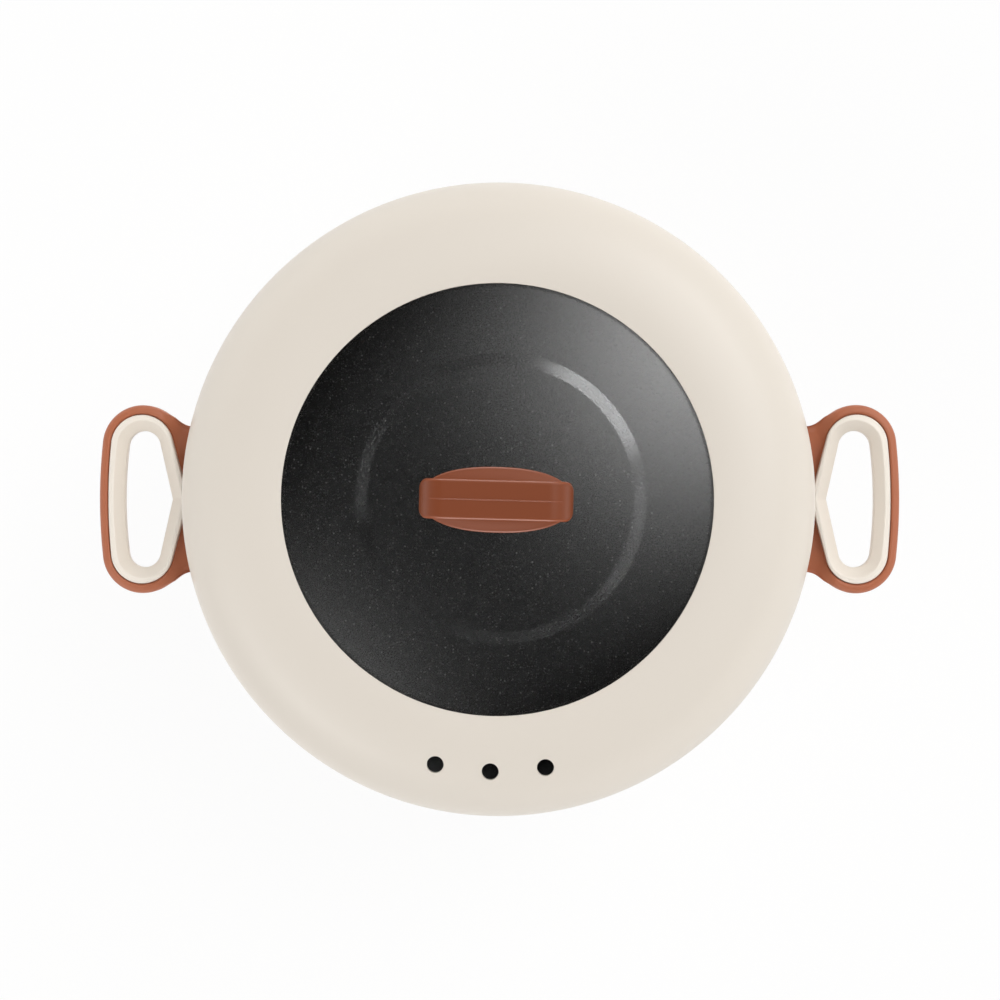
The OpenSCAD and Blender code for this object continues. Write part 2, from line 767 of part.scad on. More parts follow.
module sensor_stem() {
    bottom = guide_bottom_z - clip_t - stem_tail;
    color(steel) {
        translate([0, 0, stem_disc_z]) cylinder(r = sensor_d / 2 - cap_wall - fit, h = stem_disc_t);
        difference() {
            translate([0, 0, bottom]) cylinder(r = stem_r, h = stem_disc_z + stem_disc_t / 2 - bottom);
            translate([0, 0, clip_groove_z]) tube(stem_r + over, stem_r - groove_depth, clip_t + slip);
        }
    }
}

// Clip in the stem's groove, which stops the sensor from jumping out
module sensor_clip() {
    color(rubber) translate([0, 0, clip_groove_z + slip / 2])
        tube(stem_r + clip_w, stem_r - groove_depth + fit, clip_t);
}

module sensor_guide() {
    h = guide_top_z - guide_bottom_z;
    color("#d9d4c8") difference() {
        union() {
            translate([0, 0, guide_bottom_z]) cylinder(r = guide_r, h = h);
            translate([0, 0, well_under_z - guide_flange_t])
                cylinder(r = guide_r + guide_flange_w, h = guide_flange_t);
        }
        translate([0, 0, guide_bottom_z - over]) cylinder(r = stem_r + fit, h = h + 2 * over);
    }
}

// Coil spring between the well and the sensor's disc
module sensor_spring() {
    steps = 8;
    from_z = well_z + spring_wire_r + fit;
    rise = stem_disc_z - spring_wire_r - fit - from_z;
    coil_r = guide_r + spring_gap;
    color(steel) swept_tube([for (i = [0:spring_turns * steps]) let (a = 360 * i / steps)
        [coil_r * cos(a), coil_r * sin(a), from_z + rise * i / (spring_turns * steps)]], spring_wire_r, 6);
}

module thermal_fuse() {
    wire_l = fuse_l + 2 * fuse_wire_l;
    color("#cfc7a8") {
        translate([fuse_x - fuse_l / 2, fuse_y, fuse_z]) rotate([0, 90, 0])
            cylinder(r = fuse_r, h = fuse_l);
        translate([fuse_x - wire_l / 2, fuse_y, fuse_z]) rotate([0, 90, 0])
            cylinder(r = fuse_wire_r, h = wire_l);
    }
}

module fuse_clip() {
    in_r = fuse_r + slip;
    out_r = in_r + fuse_clip_t;
    top = well_under_z - fuse_z;
    color(steel) translate([fuse_x - fuse_clip_w / 2, fuse_y, fuse_z]) rotate([90, 0, 90])
        linear_extrude(height = fuse_clip_w) difference() {
            union() {
                circle(r = out_r);
                translate([-out_r, 0]) square([2 * out_r, top]);
                translate([-out_r - fuse_clip_wing, top - fuse_clip_t])
                    square([2 * (out_r + fuse_clip_wing), fuse_clip_t]);
            }
            circle(r = in_r);
            translate([-in_r, 0]) square([2 * in_r, top + over]);
        }
}

module rotary_switch() {
    color("#2f2f31") on_front(0, knob_z) difference() {
        union() {
            translate([-switch_w / 2, -switch_w / 2, -panel_t - switch_l])
                cube([switch_w, switch_w, switch_l]);
            translate([0, 0, -panel_t - over]) cylinder(r = neck_r, h = panel_t + over + neck_l);
        }
        translate([0, 0, -panel_t - shaft_in])
            cylinder(r = shaft_r + fit, h = panel_t + shaft_in + neck_l + over);
    }
}

module switch_nut() {
    color(steel) on_front(0, knob_z) difference() {
        cylinder(r = neck_r + switch_nut_w, h = neck_l - slip, $fn = 6);
        translate([0, 0, -over]) cylinder(r = neck_r + fit, h = neck_l + 2 * over);
    }
}

module switch_shaft() {
    color(steel) on_front(0, knob_z) translate([0, 0, -panel_t - shaft_in + seat_gap])
        cylinder(r = shaft_r, h = panel_t + shaft_in - seat_gap + knob_back + knob_l - shaft_end);
}

// Knob with a ridge that points up
module knob() {
    color(brown) on_front(0, knob_z) difference() {
        union() {
            translate([0, 0, knob_back]) rotate_extrude() polygon(concat(
                [[0, 0], [knob_d / 2, 0]],
                arc(knob_d / 2 - knob_draft - knob_edge_r, knob_l - knob_edge_r, knob_edge_r, 0, 90, 6),
                [[0, knob_l]]
            ));
            translate([-ridge_w / 2, knob_d / 2 - ridge_l + knob_draft, knob_back + ridge_back])
                cube([ridge_w, ridge_l, knob_l - ridge_back - ridge_front]);
        }
        translate([0, 0, knob_back + knob_l - inlay_t])
            cylinder(r = knob_d / 2 - inlay_inset + fit, h = inlay_t + over);
        translate([0, 0, knob_back - over]) cylinder(r = shaft_r + fit, h = knob_l - knob_skin + over);
    }
}

module knob_inlay() {
    color(cream) on_front(0, knob_z) translate([0, 0, knob_back + knob_l - inlay_t])
        cylinder(r = knob_d / 2 - inlay_inset, h = inlay_t);
}

module knob_bezel() {
    color(steel) on_front(0, knob_z) tube(knob_d / 2 + bezel_w, neck_r + switch_nut_w + bezel_gap, bezel_t);
}

module pilot_lens() {
    color("#d9763a") on_front(lens_x, knob_z) {
        cylinder(r = lens_r + lens_rim, h = lens_rim_t);
        translate([0, 0, -panel_t]) cylinder(r = lens_r, h = panel_t + lens_rim_t / 2);
    }
}

module pilot_lamp() {
    color("#e8dcc8") on_front(lens_x, knob_z) translate([0, 0, -panel_t - slip - lamp_l])
        cylinder(r = lamp_r, h = lamp_l);
}

// Appliance inlet with a rim outside and a box inside the wall
module power_inlet() {
    w = inlet_w + 2 * inlet_wall;
    h = inlet_h + 2 * inlet_wall;
    slot = [pin_t + 2 * fit, pin_w + 2 * fit, inlet_wall + 2 * over];
    color(rubber) on_rear(0, knob_z) difference() {
        union() {
            linear_extrude(height = inlet_rim_t)
                polygon(round_rect(w + 2 * inlet_rim, h + 2 * inlet_rim, inlet_rim_r));
            translate([-w / 2, -h / 2, inlet_back]) cube([w, h, inlet_depth + inlet_wall]);
        }
        translate([-inlet_w / 2, -inlet_h / 2, inlet_rim_t - inlet_depth])
            cube([inlet_w, inlet_h, inlet_depth + over]);
        for (p = pin_places) translate([p.x - slot.x / 2, -p.y - slot.y / 2, inlet_back - over]) cube(slot);
    }
}

module inlet_pins() {
    color("#c8b46a") on_rear(0, knob_z) for (p = pin_places)
        translate([p.x - pin_t / 2, -p.y - pin_w / 2, inlet_back - pin_tail])
            cube([pin_t, pin_w, pin_tail + inlet_wall + pin_l]);
}

// Silicone-covered leads between the inlet, the switch, the fuse and the heater
module leads() {
    color("#8a3b2c") for (p = [lead_to_switch, lead_to_fuse, lead_to_heater, lead_neutral, lead_earth])
        swept_tube(p, lead_r);
}

// Disc with rounded edges
module puck(r, h, e) {
    rotate_extrude($fn = 40) polygon(concat(
        [[0, 0]], arc(r - e, e, e, -90, 0, 4), arc(r - e, h - e, e, 0, 90, 4), [[0, h]]
    ));
}

// Places across a handle, from end to end, whose middle swells outwards
module bowed_row(x, y, swell) {
    for (i = [-bow_steps:bow_steps])
        translate([x + swell * (1 - pow(i / bow_steps, 2)), y * i / bow_steps]) children();
}

// Outlines of the side handle, on the +X side
module loop_outline() {
    hull() bowed_row(loop_x, loop_y, loop_swell) circle(r = loop_end_r);
}

module insert_outline(grow = 0) {
    hull() {
        bowed_row(insert_x, insert_y, insert_swell) circle(r = insert_end_r + grow);
        translate([insert_peak_x + insert_peak_r, 0]) circle(r = insert_peak_r + grow);
    }
}

module finger_outline(grow = 0) {
    hull() {
        bowed_row(finger_x, finger_y, finger_swell) circle(r = finger_end_r + grow);
        translate([finger_peak_x + finger_peak_r, 0]) circle(r = finger_peak_r + grow);
    }
}

// Brown half of a side handle: a loop with a root that is cut to the shell
module handle_body() {
    $fn = 48;
    low = handle_z - over;
    high = handle_top_z + over;
    color(brown) difference() {
        union() {
            translate([0, 0, handle_z]) hull()
                bowed_row(loop_x, loop_y, loop_swell) puck(loop_end_r, handle_t, loop_edge_r);
            translate([0, 0, handle_z + root_inset]) linear_extrude(height = handle_t - 2 * root_inset)
                offset(r = -root_fillet) offset(delta = root_fillet - root_side_inset) union() {
                    loop_outline();
                    translate([mouth_r, -root_w / 2]) square([loop_x - mouth_r, root_w]);
                }
        }
        translate([0, 0, handle_z + handle_floor_t]) linear_extrude(height = handle_t)
            insert_outline(insert_gap);
        translate([0, 0, low]) linear_extrude(height = handle_t) finger_outline(floor_hole_gap);
        rotate_extrude($fn = 144) polygon([
            [0, low], [wall_r(low, shell_out + slip), low],
            [wall_r(high, shell_out + slip), high], [0, high]
        ]);
        for (s = [-1, 1]) translate([handle_seat_x, s * handle_screw_y, handle_screw_z])
            rotate([0, 90, 0]) cylinder(r = screw_r + fit, h = handle_screw_l + over);
    }
}

// Cream half of a side handle, with a chamfered finger hole
module insert_body() {
    $fn = 40;
    color(cream) translate([0, 0, handle_z + handle_floor_t]) difference() {
        hull() {
            bowed_row(insert_x, insert_y, insert_swell) puck(insert_end_r, insert_h, insert_edge_r);
            translate([insert_peak_x + insert_peak_r, 0]) puck(insert_peak_r, insert_h, insert_edge_r);
        }
        translate([0, 0, -over]) linear_extrude(height = insert_h + 2 * over) finger_outline();
        translate([0, 0, insert_h - chamfer_h]) hull() {
            linear_extrude(height = fit) finger_outline();
            translate([0, 0, chamfer_h]) linear_extrude(height = over) finger_outline(chamfer_w);
        }
    }
}

module handle_right() { handle_body(); }

module handle_left() { mirror([1, 0, 0]) handle_body(); }

module handle_insert_right() { insert_body(); }

module handle_insert_left() { mirror([1, 0, 0]) insert_body(); }

// Screws through the shell into the handles' roots
module handle_screws() {
    color(steel) for (side = [0, 180], y = [-1, 1]) rotate([0, 0, side])
        translate([handle_seat_x, y * handle_screw_y, handle_screw_z])
            rotate([0, 90, 0]) screw(screw_r, handle_screw_l, handle_head_r, handle_head_h);
}

// Turns a piece of the lid with the lid
module lid_place() {
    rotate([0, 0, -lid_turn]) children();
}

module at_retainer_screws(z) {
    for (i = [0:retainer_screws - 1]) at_polar(retainer_screw_r, 360 * i / retainer_screws, z) children();
}

module at_strap_screws(z) {
    for (s = [-1, 1]) translate([s * strap_screw_pitch / 2, 0, z]) children();
}

// Cream ring of the lid: crown, skirt with a lip around the pot's rim, collar around the glass and bosses
module lid_ring() {
    inner_r = lid_edge_r - lid_wall;
    lip_r = flange_r + seat_gap;
    boss_z = lid_z(retainer_screw_r - lid_boss_r, glass_out);
    color(cream) lid_place() difference() {
        union() {
            rotate_extrude($fn = 144) polygon(concat(
                lid_curve(window_r, lid_crown_r * sin(crown_angle), 0),
                arc(edge_x, edge_z, lid_edge_r, 90 - crown_angle, 0, 12),
                [[lid_r, flange_z - skirt_lip], [lip_r, flange_z - skirt_lip], [lip_r, flange_z + fit],
                 [lid_r - lid_wall, flange_z + fit]],
                arc(edge_x, edge_z, inner_r, 0, 90 - crown_angle, 12),
                lid_curve((lid_crown_r - lid_wall) * sin(crown_angle), collar_out_r, lid_wall),
                [[collar_out_r, lid_z(collar_out_r, glass_out)]],
                [[collar_in_r, lid_z(collar_in_r, glass_out)]],
                lid_curve(collar_in_r, window_r, lip_t, 3)
            ));
            at_retainer_screws(boss_z)
                cylinder(r = lid_boss_r, h = lid_z(retainer_screw_r, lid_boss_cover) - boss_z);
        }
        for (i = [0:vent_count - 1])
            at_polar(vent_circle_r, 270 + vent_pitch * (i - (vent_count - 1) / 2), flange_z)
                cylinder(r = vent_d / 2, h = lid_cut_h);
        at_retainer_screws(flange_z)
            cylinder(r = thin_screw_r + fit, h = lid_z(retainer_screw_r, lid_bore_cover) - flange_z);
    }
}

module lid_glass() {
    color("#9fb3b0", 0.35) lid_place() difference() {
        rotate_extrude($fn = 144) polygon(concat(
            lid_curve(0, glass_r, glass_in, 16), lid_curve(glass_r, 0, glass_out, 16)
        ));
        at_strap_screws(flange_z) cylinder(r = glass_hole_r, h = lid_cut_h);
    }
}

// Flat silicone ring between the lip and the glass
module lid_seal() {
    in_r = window_r + seal_inset;
    color(rubber) lid_place() rotate_extrude($fn = 144) polygon(concat(
        lid_curve(in_r, glass_r, lip_t + fit, 3), lid_curve(glass_r, in_r, glass_in - fit, 3)
    ));
}

// Ring below the glass that holds it up against the lip
module lid_retainer() {
    in_r = window_r + retainer_inset;
    color(cream) lid_place() difference() {
        rotate_extrude($fn = 144) polygon(concat(
            lid_curve(in_r, retainer_r, retainer_in, 4), lid_curve(retainer_r, in_r, retainer_out, 4)
        ));
        at_retainer_screws(flange_z) cylinder(r = thin_hole_r, h = lid_cut_h);
    }
}

module lid_retainer_screws() {
    color(steel) lid_place() at_retainer_screws(lid_z(retainer_screw_r + thin_head_r, retainer_out))
        screw(thin_screw_r, retainer_screw_l, thin_head_r, thin_head_h);
}

// Strap handle with an oval foot
module lid_handle() {
    gap_l = strap_l - 2 * strap_t;
    gap_h = strap_h - strap_t - strap_foot_h;
    color(brown) lid_place() translate([0, 0, pad_z]) difference() {
        union() {
            intersection() {
                translate([0, strap_w / 2, 0]) rotate([90, 0, 0]) linear_extrude(height = strap_w)
                    polygon(round_top(strap_l, strap_h, strap_corner_r));
                linear_extrude(height = strap_h) polygon(round_rect(strap_l, strap_w, strap_plan_r));
                translate([-strap_l / 2, 0, 0]) rotate([90, 0, 90]) linear_extrude(height = strap_l)
                    polygon(round_top(strap_w, strap_h, strap_edge_r));
            }
            hull() {
                linear_extrude(height = strap_foot_edge) polygon(oval(strap_l, foot_oval_w, 48));
                linear_extrude(height = strap_foot_h)
                    polygon(oval(strap_l - 2 * strap_foot_edge, strap_w - strap_foot_edge / 2, 48));
            }
        }
        translate([0, strap_w, strap_foot_h + gap_h / 2]) rotate([90, 0, 0])
            linear_extrude(height = 2 * strap_w) polygon(round_rect(gap_l, gap_h, strap_gap_r));
        at_strap_screws(-over) cylinder(r = insert_r + fit, h = insert_l + over);
    }
}

// Silicone pad between the handle and the curved glass
module lid_handle_pad() {
    drop = lid_top_z - lid_z(strap_l / 2, 0) + over;
    color(rubber) lid_place() difference() {
        translate([0, 0, pad_z - pad_t - drop]) linear_extrude(height = pad_t + drop)
            polygon(oval(strap_l - pad_inset, foot_oval_w - pad_inset, 48));
        rotate_extrude($fn = 144) polygon(concat(
            lid_curve(0, strap_l, glass_in - fit, 24), [[strap_l, flange_z], [0, flange_z]]
        ));
        at_strap_screws(flange_z) cylinder(r = glass_hole_r, h = lid_cut_h);
    }
}

module lid_handle_inserts() {
    color("#c8a951") lid_place() at_strap_screws(pad_z) tube(insert_r, screw_r + fit, insert_l);
}

module lid_handle_screws() {
    color(steel) lid_place() at_strap_screws(washer_z - washer_t)
        screw(screw_r, pad_z + insert_l - insert_spare - washer_z + washer_t, head_r, head_h);
}

module lid_handle_washers() {
    color(rubber) lid_place() at_strap_screws(washer_z - washer_t) tube(washer_r, screw_r + fit, washer_t);
}

upper_shell();
lower_shell();
base_housing();
base_cover();
base_feet();
base_screws();
pan_screws();
pan_nuts();
holding_pan();
heating_plate();
heating_tube();
plate_spacers();
plate_screws();
sensor_guide();
sensor_spring();
sensor_cap();
sensor_thermostat();
sensor_stem();
sensor_clip();
thermal_fuse();
fuse_clip();
rotary_switch();
switch_nut();
switch_shaft();
knob();
knob_inlay();
knob_bezel();
pilot_lens();
pilot_lamp();
power_inlet();
inlet_pins();
leads();
handle_left();
handle_right();
handle_insert_left();
handle_insert_right();
handle_screws();
inner_pot();
pot_rim();
lid_ring();
lid_glass();
lid_seal();
lid_retainer();
lid_retainer_screws();
lid_handle();
lid_handle_pad();
lid_handle_inserts();
lid_handle_screws();
lid_handle_washers();
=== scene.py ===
"""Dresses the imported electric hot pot: moulded shells, a glass lid, loop handles and a speckled pot."""
import json
import math
from collections import namedtuple

import bmesh
import bpy
import numpy as np
from bpy.props import FloatProperty, FloatVectorProperty, IntProperty, PointerProperty
from bpy.types import Operator, Panel, PropertyGroup
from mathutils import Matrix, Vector


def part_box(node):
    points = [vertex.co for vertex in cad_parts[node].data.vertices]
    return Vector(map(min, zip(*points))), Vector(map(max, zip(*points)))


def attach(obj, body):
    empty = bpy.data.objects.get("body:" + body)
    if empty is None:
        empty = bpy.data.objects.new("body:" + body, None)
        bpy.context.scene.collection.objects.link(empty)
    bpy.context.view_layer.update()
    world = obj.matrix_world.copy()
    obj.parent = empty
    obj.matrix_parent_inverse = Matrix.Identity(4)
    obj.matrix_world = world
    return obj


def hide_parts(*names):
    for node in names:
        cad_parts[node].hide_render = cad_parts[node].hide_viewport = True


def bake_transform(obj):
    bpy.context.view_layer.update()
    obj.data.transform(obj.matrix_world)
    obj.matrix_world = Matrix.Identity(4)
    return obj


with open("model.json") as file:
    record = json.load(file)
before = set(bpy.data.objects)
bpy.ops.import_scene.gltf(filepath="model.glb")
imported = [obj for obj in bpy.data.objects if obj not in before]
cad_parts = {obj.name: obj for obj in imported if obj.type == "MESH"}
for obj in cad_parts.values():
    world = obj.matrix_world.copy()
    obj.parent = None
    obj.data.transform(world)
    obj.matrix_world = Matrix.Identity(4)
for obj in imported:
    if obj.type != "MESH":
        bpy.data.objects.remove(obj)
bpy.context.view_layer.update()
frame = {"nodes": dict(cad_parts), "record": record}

bl_info = {
    "name": "Electric hot pot",
    "version": (1, 0, 0),
    "blender": (4, 5, 0),
    "location": "View3D > Sidebar > Hot pot",
    "description": "Builds the visible surfaces of a round electric hot pot around its CAD frame",
    "category": "Add Mesh",
}

MM = 0.001
SLOTS = {part["node"]: part["material_slot"] for part in frame["record"]["subparts"]}
SHARP_ANGLE = math.radians(38)
MERGE_DISTANCE = 2e-6
# Most of a side that the arc at one of its corners may take
ARC_SHARE = 0.49


def srgb(code):
    """Linear red, green and blue of an sRGB hex colour."""
    c = np.array([int(code[i:i + 2], 16) for i in (1, 3, 5)]) / 255
    return tuple(np.where(c <= 0.04045, c / 12.92, ((c + 0.055) / 1.055) ** 2.4).tolist())


def length(name, description, default):
    return FloatProperty(name=name, description=description, default=default, unit="LENGTH", precision=4)


def angle(name, description, degrees):
    return FloatProperty(name=name, description=description, default=math.radians(degrees), subtype="ANGLE")


def count(name, description, default, least):
    return IntProperty(name=name, description=description, default=default, min=least)


def colour(name, description, code):
    return FloatVectorProperty(
        name=name, description=description, default=srgb(code), subtype="COLOR", min=0, max=1)


class HotPotLid(PropertyGroup):
    crown_radius: length("Crown radius", "Radius of the lid's crown", 0.6)
    edge_radius: length("Edge radius", "Radius that rounds the crown into the skirt", 0.028)
    wall: length("Wall", "Thickness of the lid ring", 0.003)
    window_radius: length("Window radius", "Radius of the window in the ring", 0.1014)
    lip_drop: length("Lip drop", "How far the ring's lip lies below the crown at the window", 0.0022)
    lip_tilt: angle("Lip tilt", "Slope of the ring towards the window at its lip", 5)
    glass_depth: length("Glass depth", "Depth of the glass below the ring's outside", 0.003)
    glass_wall: length("Glass wall", "Thickness of the glass", 0.004)
    vent_radius: length("Vent radius", "Radius of a steam vent", 0.004)
    vent_circle: length("Vent circle", "Radius of the circle that the vents lie on", 0.1276)
    vent_pitch: angle("Vent pitch", "Angle between two vents", 11.7)
    vents: count("Vents", "Number of steam vents", 3, 1)
    turn: angle("Turn", "Turn of the lid on the pot, clockwise from above", 1.5)
    handle_length: length("Handle length", "Length of the lid handle and its foot", 0.071)
    foot_width: length("Foot width", "Width of the lid handle's oval foot", 0.0306)
    strap_thickness: length("Strap thickness", "Thickness of the lid handle's bar and legs", 0.008)
    strap_width: length("Strap width", "Width of the lid handle's strap", 0.0184)
    strap_bend: length("Strap bend", "Outside radius between the strap's bar and its legs", 0.011)
    strap_edge: length("Strap edge", "Radius of the strap's long edges", 0.0014)
    strap_corner: length("Strap corner", "Radius of the strap's corners seen from above", 0.004)
    screw_pitch: length("Screw pitch", "Distance between the lid handle's two screws", 0.04)


class HotPotBody(PropertyGroup):
    taper: angle("Taper", "Lean of the pot's wall from upright", 4)
    corner_radius: length("Corner radius", "Radius between the pot's floor and wall", 0.02)
    mouth_radius: length("Mouth radius", "Inside radius of the pot at its mouth", 0.136)
    pot_wall: length("Pot wall", "Thickness of the pot's wall and floor", 0.0025)
    plateau_radius: length("Plateau radius", "Radius of the raised middle of the pot's floor", 0.067)
    plateau_slope: length("Plateau slope", "Width of the sloping step around the raised middle", 0.0065)
    plateau_height: length("Plateau height", "Height of the raised middle", 0.004)
    shell_offset: length("Shell offset", "Distance from the pot's inside to the shell's outside", 0.0111)
    shell_wall: length("Shell wall", "Thickness of the shells", 0.0026)
    base_wall: length("Base wall", "Thickness of the pedestal", 0.0028)
    deck_opening: length("Deck opening", "Radius of the opening in the pedestal's deck", 0.085)
    flutes: count("Flutes", "Number of flutes around the knob", 28, 6)
    spring_wire: length("Spring wire", "Radius of the sensor spring's wire", 0.0007)
    spring_turns: count("Spring turns", "Turns of the sensor's spring", 4, 1)


class HotPotHandles(PropertyGroup):
    end_radius: length("End radius", "Radius of the loop's ends", 0.0195)
    swell: length("Swell", "How far the loop's long side swells past its ends", 0.0014)
    root_width: length("Root width", "Width of the root on the body", 0.07)
    band: length("Band", "Width of the brown band outside the insert", 0.0045)
    band_end: length("Band end", "How much wider the band is at the loop's ends", 0.00025)
    rim: length("Rim", "Width of the insert around the finger hole's ends", 0.0071)
    rim_swell: length("Rim swell", "How far the insert's long side swells past its ends", 0.0013)
    finger_rim: length("Finger rim", "Width of the insert beside the finger hole's long sides", 0.0076)
    finger_length: length("Finger length", "Length of the finger hole", 0.066)
    finger_depth: length("Finger depth", "Depth of the finger hole at its peak", 0.023)
    finger_end: length("Finger end", "Radius of the finger hole's ends", 0.0078)
    finger_swell: length("Finger swell", "How far the finger hole's long side swells past its ends", 0.0016)
    chamfer: length("Chamfer", "Width and depth of the slope into the finger hole", 0.005)
    edge: length("Edge", "Radius of the band's outer edge", 0.003)
    inner_edge: length("Inner edge", "Radius of the band's edge at the insert", 0.0012)
    groove: length("Groove", "Width of the joint line around the insert", 0.0003)
    web_dip: length("Web dip", "How far the top falls towards the body", 0.0062)


class HotPotColours(PropertyGroup):
    cream: colour("Cream", "Colour of the lid ring, the shells and the inserts", "#E4DCD1")
    brown: colour("Brown", "Colour of the side handles and the knob", "#B56A49")
    # The side handles' brown plastic painted darker for the lid handle: painted shade, since its top faces
    # the dim light overhead
    strap_brown_painted_shade: colour("Strap brown", "Colour of the lid handle", "#763A1D")
    coating: colour("Coating", "Colour of the pot's non-stick coating", "#0C0C0D")
    speckle: colour("Speckle", "Colour of the specks in the coating", "#A3A3A0")
    amber: colour("Amber", "Colour of the pilot lens", "#E0712A")


Sizes = namedtuple("Sizes", "lid body handles colours")


def sizes():
    """The four groups of settings."""
    scene = bpy.context.scene
    return Sizes(scene.hot_pot_lid, scene.hot_pot_body, scene.hot_pot_handles, scene.hot_pot_colours)


def mm(value):
    return value / MM


def cad_box(node):
    """A CAD node's lowest and highest corners in millimetres."""
    lo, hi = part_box(node)
    return np.array(lo) / MM, np.array(hi) / MM


# Curves in a plane


def even_angles(n):
    """Angles of n places evenly round a circle."""
    return np.linspace(0, 2 * np.pi, n, endpoint=False)


def arc(x, y, r, start, stop, n):
    """Points on the circle of radius r about (x, y), at even angles from start to stop in degrees."""
    t = np.radians(np.linspace(start, stop, n))
    return np.column_stack((x + r * np.cos(t), y + r * np.sin(t)))


def rounded(corners, radii, n=6):
    """Closed outline whose corners become arcs that touch both sides; a radius of 0 keeps the corner."""
    p = np.asarray(corners, float)
    out = []
    for before, at, after, r in zip(np.roll(p, 1, 0), p, np.roll(p, -1, 0), radii):
        if r <= 0:
            out.append(at[None])
            continue
        back, on = np.linalg.norm(before - at), np.linalg.norm(after - at)
        u, v = (before - at) / back, (after - at) / on
        half = math.acos(np.clip(u @ v, -1, 1)) / 2
        reach = min(r / math.tan(half), ARC_SHARE * back, ARC_SHARE * on)
        r = reach * math.tan(half)
        centre = at + (u + v) / np.linalg.norm(u + v) * r / math.sin(half)
        start = at + u * reach - centre
        stop = at + v * reach - centre
        sweep = math.acos(np.clip(start @ stop / r ** 2, -1, 1))
        t = np.linspace(0, 1, n)[:, None] * sweep
        out.append(centre + (np.sin(sweep - t) * start + np.sin(t) * stop) / math.sin(sweep))
    return np.concatenate(out)


def hull_outline(circles, n=5760):
    """Outline of the tightest band around circles (x, y, r). For each direction it takes the circle that
    reaches furthest that way, and its point there; the gaps between circles are straight."""
    c = np.asarray(circles, float)
    t = even_angles(n)
    u = np.column_stack((np.cos(t), np.sin(t)))
    best = np.argmax(u @ c[:, :2].T + c[:, 2], axis=1)
    p = c[best, :2] + c[best, 2:3] * u
    closed = np.vstack((p, p[:1]))
    run = np.concatenate(([0], np.cumsum(np.linalg.norm(np.diff(closed, axis=0), axis=1))))
    at = np.linspace(0, run[-1], n)
    return np.column_stack((np.interp(at, run, closed[:, 0]), np.interp(at, run, closed[:, 1])))


def polar(outline, centre, angles):
    """Distance from centre to an outline in each direction, read between its neighbouring points."""
    d = outline - np.asarray(centre)
    a = np.arctan2(d[:, 1], d[:, 0])
    order = np.argsort(a)
    wrapped = (angles + np.pi) % (2 * np.pi) - np.pi
    return np.interp(wrapped, a[order], np.hypot(d[order, 0], d[order, 1]), period=2 * np.pi)


def smooth_step(low, high, x):
    """0 below low, 1 above high and a cubic between."""
    t = np.clip((x - low) / (high - low), 0, 1)
    return t * t * (3 - 2 * t)


# Surfaces in space


def around(r, t, z):
    """Points at distance r from the Z axis, angle t and height z."""
    x, y = r * np.cos(t), r * np.sin(t)
    return np.stack((x, y, np.broadcast_to(z, x.shape)), axis=-1)


def revolve(profile, steps=256):
    """A profile of (radius, height) carried round the Z axis at even angles."""
    return around(profile[:, :1], even_angles(steps), profile[:, 1:2])


def stacked(rows, t):
    """Rings of points about the Z axis at angles t. Each row gives its distance, or one for each angle, and
    its height."""
    r = np.array([np.broadcast_to(distance, len(t)) for distance, _ in rows])
    z = np.array([height for _, height in rows])[:, None]
    return around(r, t, z)


def turn_z(points, by):
    """Points turned about the Z axis, anticlockwise from above."""
    c, s = math.cos(by), math.sin(by)
    x, y, z = points[..., 0], points[..., 1], points[..., 2]
    return np.stack((x * c - y * s, x * s + y * c, z), axis=-1)


def direction(tilt, turn):
    """The way to a lamp that is given by its tilt from the top and its turn from the right, in degrees."""
    tilt, turn = math.radians(tilt), math.radians(turn)
    return Vector((math.sin(tilt) * math.cos(turn), math.sin(tilt) * math.sin(turn), math.cos(tilt)))


def grid_faces(rows, columns, wrap_rows, wrap_columns):
    """Quads between neighbouring points of a grid that is numbered row by row."""
    r, c = np.meshgrid(
        np.arange(rows - (not wrap_rows)), np.arange(columns - (not wrap_columns)), indexing="ij")
    r2, c2 = (r + 1) % rows, (c + 1) % columns
    quads = (r * columns + c, r * columns + c2, r2 * columns + c2, r2 * columns + c)
    return np.stack(quads, axis=-1).reshape(-1, 4)


def make_mesh(*grids):
    """One mesh of grids (points in millimetres, wrap_rows, wrap_columns), with doubles merged and faces
    outwards."""
    points, faces, start = [], [], 0
    for grid, wrap_rows, wrap_columns in grids:
        rows, columns = grid.shape[:2]
        points.append(grid.reshape(-1, 3))
        faces.append(grid_faces(rows, columns, wrap_rows, wrap_columns) + start)
        start += rows * columns
    mesh = bpy.data.meshes.new("surface")
    mesh.from_pydata((np.concatenate(points) * MM).tolist(), [], np.concatenate(faces).tolist())
    work = bmesh.new()
    work.from_mesh(mesh)
    bmesh.ops.remove_doubles(work, verts=work.verts, dist=MERGE_DISTANCE)
    bmesh.ops.recalc_face_normals(work, faces=work.faces)
    work.to_mesh(mesh)
    work.free()
    return mesh


def cut(mesh, *cutters):
    """The mesh with closed cutters taken away from it."""
    body = bpy.data.objects.new("cut_body", mesh)
    bpy.context.collection.objects.link(body)
    tools = []
    for i, cutter in enumerate(cutters):
        tool = bpy.data.objects.new(f"cut_tool_{i}", cutter)
        bpy.context.collection.objects.link(tool)
        step = body.modifiers.new(f"cut_{i}", "BOOLEAN")
        step.operation = "DIFFERENCE"
        step.solver = "EXACT"
        step.object = tool
        tools.append(tool)
    result = bpy.data.meshes.new_from_object(body.evaluated_get(bpy.context.evaluated_depsgraph_get()))
    for spare in (body, *tools):
        bpy.data.objects.remove(spare)
    return result


